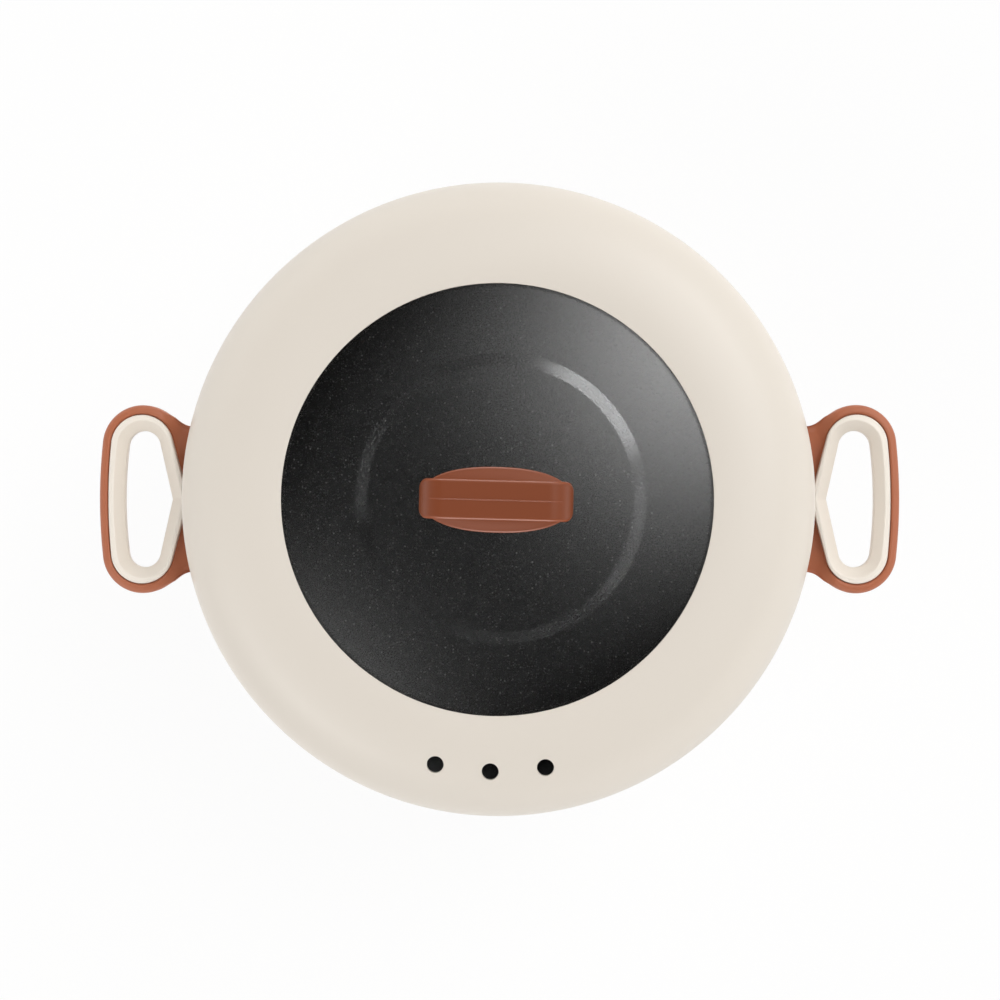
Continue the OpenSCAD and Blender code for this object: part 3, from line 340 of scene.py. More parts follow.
def new_piece(name, mesh, material, *nodes):
    """Links a mesh as a piece that stands for CAD nodes."""
    mesh.name = name
    mesh.materials.clear()
    mesh.materials.append(material)
    mesh.shade_smooth()
    mesh.set_sharp_from_angle(angle=SHARP_ANGLE)
    piece = bpy.data.objects.new(name, mesh)
    bpy.context.collection.objects.link(piece)
    even = piece.modifiers.new("even_normals", "WEIGHTED_NORMAL")
    even.keep_sharp = True
    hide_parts(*nodes)
    return piece


def add_piece(name, mesh, body, material, *nodes):
    """Links a mesh as a piece that rides on a body and stands for CAD nodes."""
    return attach(new_piece(name, mesh, material, *nodes), body)


def lit_by(name):
    """The collection of pieces that a near lamp lights, made when it is first asked for."""
    return bpy.data.collections.get(name) or bpy.data.collections.new(name)


# Materials


def set_inputs(tree, node, inputs):
    """Links the inputs that get a socket, and sets those that get a value."""
    for key, value in inputs.items():
        if isinstance(value, bpy.types.NodeSocket):
            tree.links.new(value, node.inputs[key])
        else:
            node.inputs[key].default_value = value


def add_node(tree, kind, inputs, **settings):
    """Adds a shader node, and gives it its settings and inputs."""
    node = tree.nodes.new("ShaderNode" + kind)
    for key, value in settings.items():
        setattr(node, key, value)
    set_inputs(tree, node, inputs)
    return node


def new_material(name):
    """A material, its tree, shader and Object coordinates; the tree is None if it was made before."""
    if name in bpy.data.materials:
        return bpy.data.materials[name], None, None, None
    material = bpy.data.materials.new(name)
    material.use_nodes = True
    tree = material.node_tree
    shader = tree.nodes["Principled BSDF"]
    place = add_node(tree, "TexCoord", {}).outputs["Object"]
    return material, tree, shader, place


def per_metre(millimetres):
    """Scale of a pattern on Object coordinates whose features are this far apart."""
    return 1 / (millimetres * MM)


def dim(rgb, by):
    return tuple(by * c for c in rgb)


def moulded(name, rgb, roughness, grain_mm, bump, spread=0.04, **sockets):
    """Injection-moulded plastic or rubber: an even colour with faint clouds, over the tool's fine grain."""
    material, tree, shader, place = new_material(name)
    if tree is None:
        return material
    cloud_mm, swing = 60, 0.05
    clouds = add_node(tree, "TexNoise", {"Vector": place, "Scale": per_metre(cloud_mm), "Detail": 3.0})
    grain = add_node(tree, "TexNoise", {"Vector": place, "Scale": per_metre(grain_mm), "Detail": 2.0})
    tint = add_node(tree, "Mix", {
        "Factor": clouds.outputs[0], 6: (*dim(rgb, 1 - spread), 1), 7: (*dim(rgb, 1 + spread), 1),
    }, data_type="RGBA")
    rough = add_node(tree, "MapRange", {
        "Value": grain.outputs[0], 3: roughness - swing, 4: roughness + swing})
    relief = add_node(tree, "Bump", {
        "Height": grain.outputs[0], "Strength": bump, "Distance": 0.1 * grain_mm * MM})
    set_inputs(tree, shader, {
        "Base Color": tint.outputs[2], "Roughness": rough.outputs[0], "Normal": relief.outputs[0]})
    set_inputs(tree, shader, {key.replace("_", " "): value for key, value in sockets.items()})
    return material


def machined(name, code, roughness, lines_mm, bump, rings=False):
    """Bare metal with the fine lines of a tool: rings about the axis where it was turned, streaks where it
    was rolled."""
    material, tree, shader, place = new_material(name)
    if tree is None:
        return material
    rgb = srgb(code)
    dark, light, swing = 0.9, 1.06, 0.07
    if rings:
        # One turn of the wave is 2 pi / 20 of a unit of scale
        lines = add_node(tree, "TexWave", {
            "Vector": place, "Scale": per_metre(lines_mm) * 2 * math.pi / 20,
            "Distortion": 0.4, "Detail": 1.0,
        }, wave_type="RINGS", rings_direction="Z").outputs[1]
    else:
        long = add_node(tree, "Mapping", {"Vector": place, "Scale": (1.0, 1.0, 0.06)}).outputs[0]
        lines = add_node(tree, "TexNoise", {
            "Vector": long, "Scale": per_metre(lines_mm), "Detail": 3.0}).outputs[0]
    tint = add_node(tree, "Mix", {
        "Factor": lines, 6: (*dim(rgb, dark), 1), 7: (*dim(rgb, light), 1)}, data_type="RGBA")
    rough = add_node(tree, "MapRange", {"Value": lines, 3: roughness - swing, 4: roughness + swing})
    relief = add_node(tree, "Bump", {"Height": lines, "Strength": bump, "Distance": 0.05 * lines_mm * MM})
    set_inputs(tree, shader, {
        "Base Color": tint.outputs[2], "Roughness": rough.outputs[0], "Normal": relief.outputs[0],
        "Metallic": 1.0})
    return material


def cream_abs():
    """ABS moulded in a finely eroded tool: an even satin cream with wide soft highlights."""
    return moulded("cream_moulded_abs", tuple(sizes().colours.cream), 0.37, 0.8, 0.05, 0.012)


def brown_nylon():
    """Glass-filled nylon with a matt tool grain: terracotta brown that greys a little at a low angle."""
    return moulded("brown_moulded_nylon", tuple(sizes().colours.brown), 0.46, 0.7, 0.09, 0.03,
                   Sheen_Weight=0.15, Sheen_Roughness=0.35, Sheen_Tint=(*srgb("#F6D9C8"), 1))


def brown_painted_shade():
    """The handles' brown plastic copied in a deeper brown: painted shade for the lid handle, whose top faces
    the dim light overhead. A satin sheen lightens its edges.
    """
    return moulded("brown_moulded_painted_shade", tuple(sizes().colours.strap_brown_painted_shade), 0.4, 0.6, 0.05, 0.03,
                   Specular_IOR_Level=0.32)


def nonstick_coating():
    """PTFE coat sprayed with mica: near black, thick with grey flecks and a few pale specks, and a dull
    sheen. The flecks are drawn about 1 mm apart, coarser than sprayed mica, so that they show."""
    colours = sizes().colours
    material, tree, shader, place = new_material("mica_speckled_ptfe")
    if tree is None:
        return material
    ground = (*colours.coating, 1)
    # Spacing of the flecks in millimetres, their reach as a share of it, the share of places without one,
    # and the strength of the strongest
    for spacing, reach, bare, strong in ((0.9, 0.6, 0.2, 0.21), (2.0, 0.3, 0.5, 0.5)):
        cells = add_node(tree, "TexVoronoi", {"Vector": place, "Scale": per_metre(spacing)})
        near = add_node(tree, "MapRange", {"Value": cells.outputs["Distance"], 1: reach, 2: 0.4 * reach})
        chance = add_node(tree, "SeparateColor", {"Color": cells.outputs["Color"]})
        pick = add_node(tree, "MapRange", {"Value": chance.outputs[0], 1: bare, 2: 1.0, 4: strong})
        fleck = add_node(tree, "Math", {0: near.outputs[0], 1: pick.outputs[0]}, operation="MULTIPLY")
        ground = add_node(tree, "Mix", {
            "Factor": fleck.outputs[0], 6: ground, 7: (*colours.speckle, 1)}, data_type="RGBA").outputs[2]
    mist = add_node(tree, "TexNoise", {"Vector": place, "Scale": per_metre(1.1), "Detail": 2.0})
    relief = add_node(tree, "Bump", {"Height": mist.outputs[0], "Strength": 0.12, "Distance": 0.1 * MM})
    set_inputs(tree, shader, {
        "Base Color": ground, "Normal": relief.outputs[0], "Roughness": 0.25, "IOR": 1.6})
    return material


def tempered_glass():
    """Float glass bent to a dome and tempered: clear, faintly green, with a plain mirror sheen."""
    material, tree, shader, place = new_material("tempered_soda_glass")
    if tree is None:
        return material
    wave = add_node(tree, "TexNoise", {"Vector": place, "Scale": per_metre(45), "Detail": 0.0})
    relief = add_node(tree, "Bump", {"Height": wave.outputs[0], "Strength": 0.02, "Distance": 0.4 * MM})
    set_inputs(tree, shader, {
        "Normal": relief.outputs[0], "Base Color": (*srgb("#F6F7F7"), 1), "Roughness": 0.0, "IOR": 1.5,
        "Transmission Weight": 1.0})
    return material


def amber_lens():
    """Polycarbonate lens over the pilot lamp: clear amber with a wet gloss."""
    amber = tuple(sizes().colours.amber)
    return moulded("amber_polycarbonate", amber, 0.12, 2.0, 0.02, 0.03, Transmission_Weight=0.35)


# Finishes of the record's material slots
FINISHES = {
    "cream_plastic": cream_abs,
    "brown_plastic": brown_nylon,
    "nonstick_pot": nonstick_coating,
    "glass": tempered_glass,
    "amber_lens": amber_lens,
}
# Metals by slot: name, colour, roughness, spacing of the lines in millimetres, bump, and whether turned
METALS = {
    # Rolled sheet: fine streaks and a soft grey sheen
    "steel_sheet": ("rolled_stainless_steel", "#B9BBBD", 0.32, 0.5, 0.08),
    # Plated screws: bright with a slight haze
    "steel_screw": ("zinc_plated_steel", "#A9ABAE", 0.3, 0.4, 0.05),
    # Turned casting: rings of the lathe tool
    "cast_aluminium": ("turned_cast_aluminium", "#C4C6C8", 0.34, 0.9, 0.12, True),
    # Heated sheath: brownish grey and dull
    "heater_steel": ("heat_tinted_steel", "#7C7068", 0.5, 0.6, 0.1),
    # Anodised trim: pale warm grey with fine streaks
    "bezel_aluminium": ("anodised_aluminium", "#CFC8BE", 0.28, 0.6, 0.05),
    # Brass bar: yellow, with the streaks of a tool
    "brass": ("turned_brass", "#C9A54E", 0.3, 0.4, 0.06),
}
# Plastics and rubbers by slot: name, colour, roughness, spacing of the grain in millimetres and bump
PLASTICS = {
    # Silicone rubber: dark and matt with a faint bloom
    "silicone": ("grey_silicone_rubber", "#3A3735", 0.62, 0.9, 0.1),
    # Black nylon: half matt with a fine grain
    "dark_plastic": ("black_moulded_nylon", "#232324", 0.5, 0.6, 0.12),
    # Uncoloured nylon: off-white and half matt
    "pale_plastic": ("natural_nylon", "#D8D0BE", 0.5, 0.8, 0.08),
    # Silicone jacket of the leads: brick red and matt
    "lead_jacket": ("red_silicone_jacket", "#8A3B2C", 0.55, 0.7, 0.08),
}


def slot_material(slot):
    """The finish of a material slot of the record."""
    if slot in METALS:
        return machined(*METALS[slot])
    if slot in PLASTICS:
        name, code, *surface = PLASTICS[slot]
        return moulded(name, srgb(code), *surface)
    return FINISHES[slot]()


# Sections of the lid and the bowl


LidCircles = namedtuple("LidCircles", "outer crown_z edge_x edge_z lean")


def lid_circles():
    """Centres of the lid's two circles, the crown's on the axis and the edge's inside the skirt, with the
    lid's radius and the lean from upright where the circles meet."""
    lid = sizes().lid
    outer, _, top = cad_box("lid_ring")[1]
    edge_r, crown_r = mm(lid.edge_radius), mm(lid.crown_radius)
    window = mm(lid.window_radius)
    crown_z = top - math.sqrt(crown_r ** 2 - window ** 2)
    edge_x = outer - edge_r
    edge_z = crown_z + math.sqrt((crown_r - edge_r) ** 2 - edge_x ** 2)
    return LidCircles(outer, crown_z, edge_x, edge_z, math.asin(edge_x / (crown_r - edge_r)))


def lid_curve(start, stop, depth, n):
    """Points of the crown between two radii, on the circle that lies depth inside its outside."""
    r = np.linspace(start, stop, n)
    crown_r = mm(sizes().lid.crown_radius) - depth
    return np.column_stack((r, lid_circles().crown_z + np.sqrt(crown_r ** 2 - r ** 2)))


def lid_top(n=28):
    """Outside of the ring from the window to the edge arc: its slope grows evenly from the lip's tilt
    inwards to the crown's lean outwards, and the heights add it up. Also gives how far that ends above the
    crown."""
    lid = sizes().lid
    lean = lid_circles().lean
    start, stop = mm(lid.window_radius), mm(lid.crown_radius) * math.sin(lean)
    r = np.linspace(start, stop, n)
    slope = np.tan(np.linspace(-lid.lip_tilt, lean, n))
    fall = np.concatenate(([0], np.cumsum((slope[1:] + slope[:-1]) / 2 * np.diff(r))))
    crown = lid_curve(start, stop, 0, 2)[:, 1]
    z = crown[0] - mm(lid.lip_drop) - fall
    return np.column_stack((r, z)), z[-1] - crown[1]


def lid_profile():
    """Section of the lid ring: dished top, edge arc and skirt outside; a parallel curve, collar and lip
    inside. Each run of points comes with the radius that rounds its first corner."""
    lid = sizes().lid
    outer, _, edge_x, edge_z, lean = lid_circles()
    edge_r, wall, crown_r = mm(lid.edge_radius), mm(lid.wall), mm(lid.crown_radius)
    depth, window = mm(lid.glass_depth), mm(lid.window_radius)
    # Clearances around the glass, around the pot's rim and above that, and from the lip down to the glass
    glass_gap, rim_gap, rest_gap, lip_gap = 0.6, 0.3, 0.05, 0.03
    collar_wall, lip_edge = 2.5, 0.2
    collar = cad_box("lid_glass")[1][0] + glass_gap
    rim = cad_box("pot_rim")[1]
    skirt, seat = rim[0] + rim_gap, rim[2] + rest_gap
    low = cad_box("lid_ring")[0][2]
    tilt = 90 - math.degrees(lean)
    top, rise = lid_top()
    runs = [
        (top, 0.4),
        (arc(edge_x, edge_z + rise, edge_r, tilt, 0, 30)[1:], 0),
        ([(outer, low)], 0.5),
        ([(skirt, low)], 0.3),
        ([(skirt, seat)], 0),
        ([(outer - wall, seat)], 0.4),
        (arc(edge_x, edge_z, edge_r - wall, 0, tilt, 20), 0),
        (lid_curve((crown_r - wall) * math.sin(lean), collar + collar_wall, wall, 8)[1:], 0),
        (lid_curve(collar + collar_wall, collar, depth + mm(lid.glass_wall), 2), 0),
        (lid_curve(collar, window, depth - lip_gap, 3), 0),
    ]
    corners = np.concatenate([np.asarray(points, float) for points, _ in runs])
    radii = np.concatenate([[r] + [0] * (len(points) - 1) for points, r in runs])
    radii[-1] = lip_edge
    return rounded(corners, radii, 7)


def wall_radius(z, offset):
    """Radius of the bowl's sloping wall at height z, moved outwards by offset."""
    body = sizes().body
    top = cad_box("pot_rim")[1][2]
    return mm(body.mouth_radius) - (top - z) * math.tan(body.taper) + offset / math.cos(body.taper)


def bowl_side(offset, top, n=22):
    """Side of the bowl from its floor's edge: an arc of the corner radius plus offset, then the sloping wall
    up to top."""
    body = sizes().body
    corner_r = mm(body.corner_radius)
    floor = cad_box("inner_pot")[0][2] + mm(body.pot_wall)
    z = floor + corner_r
    x = wall_radius(z, 0) - corner_r / math.cos(body.taper)
    curve = arc(x, z, corner_r + offset, -90, -math.degrees(body.taper), n)
    return np.vstack((curve, [(wall_radius(top, offset), top)]))


class HOTPOT_OT_stage(Operator):
    """Camera almost straight above the pot, a white floor, and a studio lit from the upper right"""
    bl_idname = "hotpot.stage"
    bl_label = "Stage"

    def execute(self, context):
        scene = context.scene
        scene.view_settings.view_transform = "Standard"
        data = bpy.data.cameras.new("camera")
        data.lens = 120.7
        data.sensor_width = 36
        camera = bpy.data.objects.new("camera", data)
        aim = Vector((0.00086, -0.0003, 0.1471))
        away = Vector((0.024, 0.008, 1.6))
        camera.location = aim + away
        camera.rotation_euler = (-math.asin(away.y / away.length), math.atan2(away.x, away.z), 0)
        context.collection.objects.link(camera)
        scene.camera = camera
        floor = self.floor(context)
        self.studio(scene)
        self.near_lamps(context, floor)
        return {"FINISHED"}

    def floor(self, context):
        """A flat square of white paper. To the eye it glows white but for a share that keeps the shadow."""
        half, drop, glowing = 2000, 0.2, 0.93
        t = np.linspace(-1, 1, 9) * half
        x, y = np.meshgrid(t, t)
        mesh = make_mesh((np.stack((x, y, np.full_like(x, -drop)), axis=-1), False, False))
        floor = bpy.data.objects.new("floor", mesh)
        context.collection.objects.link(floor)
        paper = bpy.data.materials.new("white_paper")
        paper.use_nodes = True
        tree = paper.node_tree
        tree.nodes.remove(tree.nodes["Principled BSDF"])
        path = add_node(tree, "LightPath", {}).outputs
        matt = add_node(tree, "BsdfDiffuse", {"Color": (*srgb("#F7F6F4"), 1)})
        glow = add_node(tree, "Emission", {"Color": (1, 1, 1, 1), "Strength": 1.0})
        seen = path["Is Camera Ray"]
        for ray in ("Is Transmission Ray", "Is Glossy Ray"):
            seen = add_node(tree, "Math", {0: seen, 1: path[ray]}, operation="MAXIMUM").outputs[0]
        share = add_node(tree, "Math", {0: seen, 1: glowing}, operation="MULTIPLY")
        both = add_node(tree, "MixShader", {0: share.outputs[0], 1: matt.outputs[0], 2: glow.outputs[0]})
        set_inputs(tree, tree.nodes["Material Output"], {"Surface": both.outputs[0]})
        mesh.materials.append(paper)
        return floor

    def studio(self, scene):
        """Light by direction: dim overhead, paler round the horizon, and soft lamps given as tilt from the
        top, turn from the right, spread and strength. Rays straight to the eye see white."""
        lamps = ((29, 38, 12, 4.4), (45, 225, 12, 3.3), (50, 45, 12, 2.3))
        # Tilt and level where the dim top ends, and where the horizon's level is reached
        top_tilt, top_level, low_tilt, low_level = 24, 0.02, 85, 1.15
        world = bpy.data.worlds.new("studio")
        scene.world = world
        world.use_nodes = True
        tree = world.node_tree
        way = add_node(tree, "TexCoord", {}).outputs["Generated"]
        up = add_node(tree, "SeparateXYZ", {0: way}).outputs[2]
        total = add_node(tree, "MapRange", {
            "Value": up, 1: math.cos(math.radians(top_tilt)), 2: math.cos(math.radians(low_tilt)),
            3: top_level, 4: low_level,
        }, interpolation_type="SMOOTHSTEP").outputs[0]
        for tilt, turn, spread, strength in lamps:
            aim = direction(tilt, turn)
            facing = add_node(tree, "VectorMath", {0: way, 1: aim}, operation="DOT_PRODUCT")
            # exp((cos a - 1) / spread^2) falls off as a bell about the lamp's middle
            sharp = math.radians(spread) ** -2
            less = add_node(tree, "Math", {0: facing.outputs["Value"], 1: 1.0}, operation="SUBTRACT")
            power = add_node(tree, "Math", {0: less.outputs[0], 1: sharp}, operation="MULTIPLY")
            bell = add_node(tree, "Math", {0: power.outputs[0]}, operation="EXPONENT")
            lamp = {0: bell.outputs[0], 1: strength, 2: total}
            total = add_node(tree, "Math", lamp, operation="MULTIPLY_ADD").outputs[0]
        path = add_node(tree, "LightPath", {}).outputs
        bounced = add_node(tree, "Math", {0: path["Diffuse Depth"], 1: path["Glossy Depth"]})
        straight = add_node(tree, "Math", {0: bounced.outputs[0], 1: 0.5}, operation="LESS_THAN")
        through = add_node(tree, "Math", {
            0: path["Is Transmission Ray"], 1: straight.outputs[0]}, operation="MULTIPLY")
        seen = add_node(tree, "Math", {0: path["Is Camera Ray"], 1: through.outputs[0]}, operation="MAXIMUM")
        level = add_node(tree, "Mix", {"Factor": seen.outputs[0], 2: total, 3: 1.0})
        set_inputs(tree, tree.nodes["Background"], {
            "Color": (1.0, 0.996, 0.99, 1), "Strength": level.outputs[0]})

    def near_lamps(self, context, floor):
        """Discs that light one kind of piece each, and that only the floor shades: low ones for the sheen on
        the step in the pot and for the edges of the lid handle, and one overhead for the inserts of the
        handles. Each is given as the pieces that it lights, tilt, turn, width, distance, radiance, and
        whether it lights more than the sheen."""
        shade = bpy.data.collections.new("near_shade")
        shade.objects.link(floor)
        lamps = (
            ("pot_lit", 63, 45, 0.8, 1.0, 6.7, False),
            ("pot_lit", 63, 125, 0.7, 1.0, 0.4, False),
            ("pot_lit", 63, 168, 0.7, 1.0, 0.7, False),
            ("pot_lit", 63, 270, 0.7, 1.0, 0.5, False),
            ("pot_lit", 63, 308, 0.7, 1.0, 0.7, False),
            ("pot_lit", 63, 345, 0.8, 1.0, 1.3, False),
            ("strap_lit", 72, 90, 0.5, 1.0, 6.0, True),
            ("strap_lit", 72, 270, 0.5, 1.0, 10.0, True),
            ("strap_lit", 88, 90, 0.5, 1.0, 8.0, True),
            ("strap_lit", 88, 270, 0.5, 1.0, 8.0, True),
            ("strap_lit", 86, 0, 0.5, 1.0, 1.0, True),
            ("strap_lit", 86, 180, 0.5, 1.0, 1.0, True),
            ("insert_lit", 0, 0, 1.2, 2.2, 2.4, True),
        )
        middle = Vector((0, 0, 0.058))
        for i, (lit, tilt, turn, width, far, level, matt) in enumerate(lamps):
            way = direction(tilt, turn)
            data = bpy.data.lights.new(f"near_lamp_{i}", "AREA")
            data.shape = "DISK"
            data.size = width
            # A disc's power is pi times its radiance and its area
            data.energy = level * math.pi * math.pi * width ** 2 / 4
            lamp = bpy.data.objects.new(f"near_lamp_{i}", data)
            lamp.location = middle + far * way
            lamp.rotation_euler = way.to_track_quat("Z", "Y").to_euler()
            lamp.visible_diffuse = matt
            # The lid would hide the lamp from the rays that look for it along the sheen
            data.cycles.use_multiple_importance_sampling = False
            lamp.light_linking.receiver_collection = lit_by(lit)
            lamp.light_linking.blocker_collection = shade
            context.collection.objects.link(lamp)


class HOTPOT_OT_lid(Operator):
    """Lid ring with its steam vents, and the domed glass"""
    bl_idname = "hotpot.lid"
    bl_label = "Lid ring and glass"

    def execute(self, context):
        lid = sizes().lid
        ring = make_mesh((revolve(lid_profile(), 288), True, True))
        add_piece("lid_ring_skin", cut(ring, *self.vent_cutters()), "lid", cream_abs(), "lid_ring")
        glass_r = cad_box("lid_glass")[1][0]
        depth = mm(lid.glass_depth)
        edge, bore_r, reach = 0.8, 3, 20
        top = lid_curve(0, glass_r, depth, 26)
        under = lid_curve(glass_r, 0, depth + mm(lid.glass_wall), 26)
        radii = np.zeros(len(top) + len(under))
        radii[len(top) - 1:len(top) + 1] = edge
        profile = rounded(np.vstack((top, under)), radii, 5)
        glass = make_mesh((revolve(profile, 224), False, True))
        low, high = top[0][1] - reach, top[0][1] + reach
        bore = revolve(np.array([(0, low), (bore_r, low), (bore_r, high), (0, high)]), 32)
        spread = mm(lid.screw_pitch) / 2
        grids = [turn_z(bore + (x, 0, 0), -lid.turn) for x in (-spread, spread)]
        bores = [make_mesh((grid, False, True)) for grid in grids]
        add_piece("lid_glass_skin", cut(glass, *bores), "lid", tempered_glass(), "lid_glass")
        return {"FINISHED"}

    def vent_cutters(self):
        """A plug for each vent: an upright cylinder whose top rows follow the slope of the ring there, the
        last of them wider by a small chamfer."""
        lid = sizes().lid
        r, at, chamfer = mm(lid.vent_radius), mm(lid.vent_circle), 0.12
        wide = r + chamfer
        top, _ = lid_top()
        z = np.interp(at, top[:, 0], top[:, 1])
        fall = -np.interp(at, top[:, 0], np.gradient(top[:, 1], top[:, 0]))
        # Each row's radius, its level above the ring's outside, and whether it follows the slope
        rows = np.array([(0, -14, 0), (r, -14, 0), (r, -0.1, 1), (wide, 0.02, 1), (wide, 6, 1), (0, 6, 1)])
        radii, level, sloped = rows.T[:, :, None]
        t = even_angles(48)
        x, y = radii * np.cos(t), radii * np.sin(t)
        plug = np.stack((at + x, y, z + level - sloped * fall * x), axis=-1)
        middle = -math.pi / 2 - lid.turn
        turns = [middle + lid.vent_pitch * (i - (lid.vents - 1) / 2) for i in range(lid.vents)]
        return [make_mesh((turn_z(plug, turn), False, True)) for turn in turns]


class HOTPOT_OT_lid_handle(Operator):
    """Strap handle of the lid on its oval foot"""
    bl_idname = "hotpot.lid_handle"
    bl_label = "Lid handle"

    def execute(self, context):
        lo, hi = cad_box("lid_handle")
        lid = sizes().lid
        base, height = np.array((0, 0, lo[2])), hi[2] - lo[2]
        half, wide = mm(lid.handle_length) / 2, mm(lid.foot_width) / 2
        pieces = (self.strap(half, height), self.seam(half, height), self.foot(half, wide))
        mesh = make_mesh(*[(turn_z(piece + base, -lid.turn), False, True) for piece in pieces])
        # The strap's brown is the handles' brown painted darker, as shade
        skin = add_piece("lid_handle_skin", mesh, "lid", brown_painted_shade(), "lid_handle")
        lit_by("strap_lit").objects.link(skin)
        return {"FINISHED"}

    def path(self, half, height, inset, corner, flare, n=20):
        """Side view of the strap from its left end to its right: a plain or flared end, an upright, an arc
        and a level run, and the same mirrored."""
        x, z = half - inset, height - inset
        # Heights of a plain end, of a flared end, and where both have become upright
        plain_z, flare_z, knee = 1, 6, 12
        end = np.column_stack((np.full(n, -x), np.linspace(plain_z, knee, n)))
        if flare:
            end = arc(-x + flare, flare_z + flare, flare, 270, 180, n)
        upright = np.column_stack((np.full(n, -x), np.linspace(knee, z - corner, n)))
        bend = arc(-x + corner, z - corner, corner, 180, 90, n)
        level = np.column_stack((np.linspace(-x + corner, 0, n), np.full(n, z)))
        half_path = np.vstack((end, upright[1:], bend[1:], level[1:]))
        other = half_path[-2::-1] * (-1, 1)
        return np.vstack((half_path, other))

    def strap(self, half, height):
        """A rounded rectangle carried along the strap: it spans from the inner to the outer path, and its
        width narrows at the ends so that the plan has round corners."""
        lid = sizes().lid
        t, w, plan = mm(lid.strap_thickness), mm(lid.strap_width) / 2, mm(lid.strap_corner)
        outer_e, inner_e, inner_bend, flare = mm(lid.strap_edge), 1.2, 6, 6
        outer = self.path(half, height, 0, mm(lid.strap_bend), 0)
        inner = self.path(half, height, t, inner_bend, flare)
        section = rounded([(0, -w), (t, -w), (t, w), (0, w)], [inner_e, outer_e, outer_e, inner_e], 8)
        share = section[:, 0] / t
        x = inner[:, :1] + (outer[:, :1] - inner[:, :1]) * share
        z = inner[:, 1:] + (outer[:, 1:] - inner[:, 1:]) * share
        past = np.clip(np.abs(x) - (half - plan), 0, plan)
        y = section[:, 1] / w * (w - plan + np.sqrt(np.maximum(plan ** 2 - past ** 2, 0)))
        return np.stack((x, y, z), axis=-1)

    def seam(self, half, height):
        """Parting line of the mould along the bar: an ellipse, half sunk in the bar, carried over the middle
        of the outer path and flattened towards its ends."""
        half_width, proud, end_gap, fade = 0.28, 0.34, 4.5, 1.5
        outer = self.path(half, height, 0, mm(sizes().lid.strap_bend), 0, 40)
        reach = half - end_gap
        line = outer[np.abs(outer[:, 0]) < reach]
        t = even_angles(12)
        rise = smooth_step(0, fade, reach - np.abs(line[:, :1]))
        y = np.broadcast_to(half_width * np.cos(t), (len(line), len(t)))
        z = line[:, 1:] + proud * np.sin(t) * rise
        return np.stack((np.broadcast_to(line[:, :1], y.shape), y, z), axis=-1)

    def foot(self, half, wide):
        """Ovals a little fuller than ellipses, stacked: up from a small chamfer, in over a round edge, then
        over a low crown."""
        t = even_angles(192)
        c, s = np.cos(t), np.sin(t)
        # An ellipse has a fullness of 2
        fullness, side, edge, crown = 2.3, 2.9, 1.3, 3.8
        ox, oy = np.sign(c) * np.abs(c) ** (2 / fullness), np.sign(s) * np.abs(s) ** (2 / fullness)
        rim = cad_box("lid_handle_pad")[1][2] - cad_box("lid_handle")[0][2] + side
        turn = np.radians(np.linspace(0, 80, 9))
        share = np.linspace(0, 1, 12)[1:]
        inset = np.concatenate(([0.4, 0.1, 0], edge * (1 - np.cos(turn)), edge + (wide - edge) * share))
        z = np.concatenate((
            [0, 0.25, 0.8], rim - edge * (1 - np.sin(turn)), rim + crown * (1 - (1 - share) ** 2)))
        # The long half-axis shrinks by the same inset near the rim and to nothing at the middle
        lx = (half - inset * (1 + (half / wide - 1) * smooth_step(edge, wide, inset)))[:, None]
        ly = (wide - inset)[:, None]
        top = np.stack((lx * ox, ly * oy, np.broadcast_to(z[:, None], (len(z), len(t)))), axis=-1)
        return np.concatenate((np.zeros((1, len(t), 3)), top))


class HOTPOT_OT_pot(Operator):
    """Non-stick pot with its raised middle, and the rim around its mouth"""
    bl_idname = "hotpot.pot"
    bl_label = "Pot"

    def execute(self, context):
        body = sizes().body
        lo, hi = cad_box("inner_pot")
        wall, step_edge, rim_edge, mouth_edge = mm(body.pot_wall), 0.5, 0.7, 0.9
        floor = lo[2] + wall
        high = floor + mm(body.plateau_height)
        r, slope = mm(body.plateau_radius), mm(body.plateau_slope)
        inside, outside = bowl_side(0, hi[2]), bowl_side(wall, hi[2])[::-1]
        corners = np.vstack(([(0, high), (r, high), (r + slope, floor)], inside, outside, [(0, lo[2])]))
        radii = np.zeros(len(corners))
        radii[1:3] = step_edge
        pot = make_mesh((revolve(rounded(corners, radii)), False, True))
        skin = add_piece("pot_skin", pot, "pot", nonstick_coating(), "inner_pot")
        lit_by("pot_lit").objects.link(skin)
        lo, hi = cad_box("pot_rim")
        mouth = mm(body.mouth_radius)
        corners = [(wall_radius(lo[2], 0), lo[2]), (hi[0], lo[2]), (hi[0], hi[2]), (mouth, hi[2])]
        rim = make_mesh((revolve(rounded(corners, [0, rim_edge, rim_edge, mouth_edge])), True, True))
        add_piece("pot_rim_skin", rim, "pot", slot_material("steel_sheet"), "pot_rim")
        return {"FINISHED"}


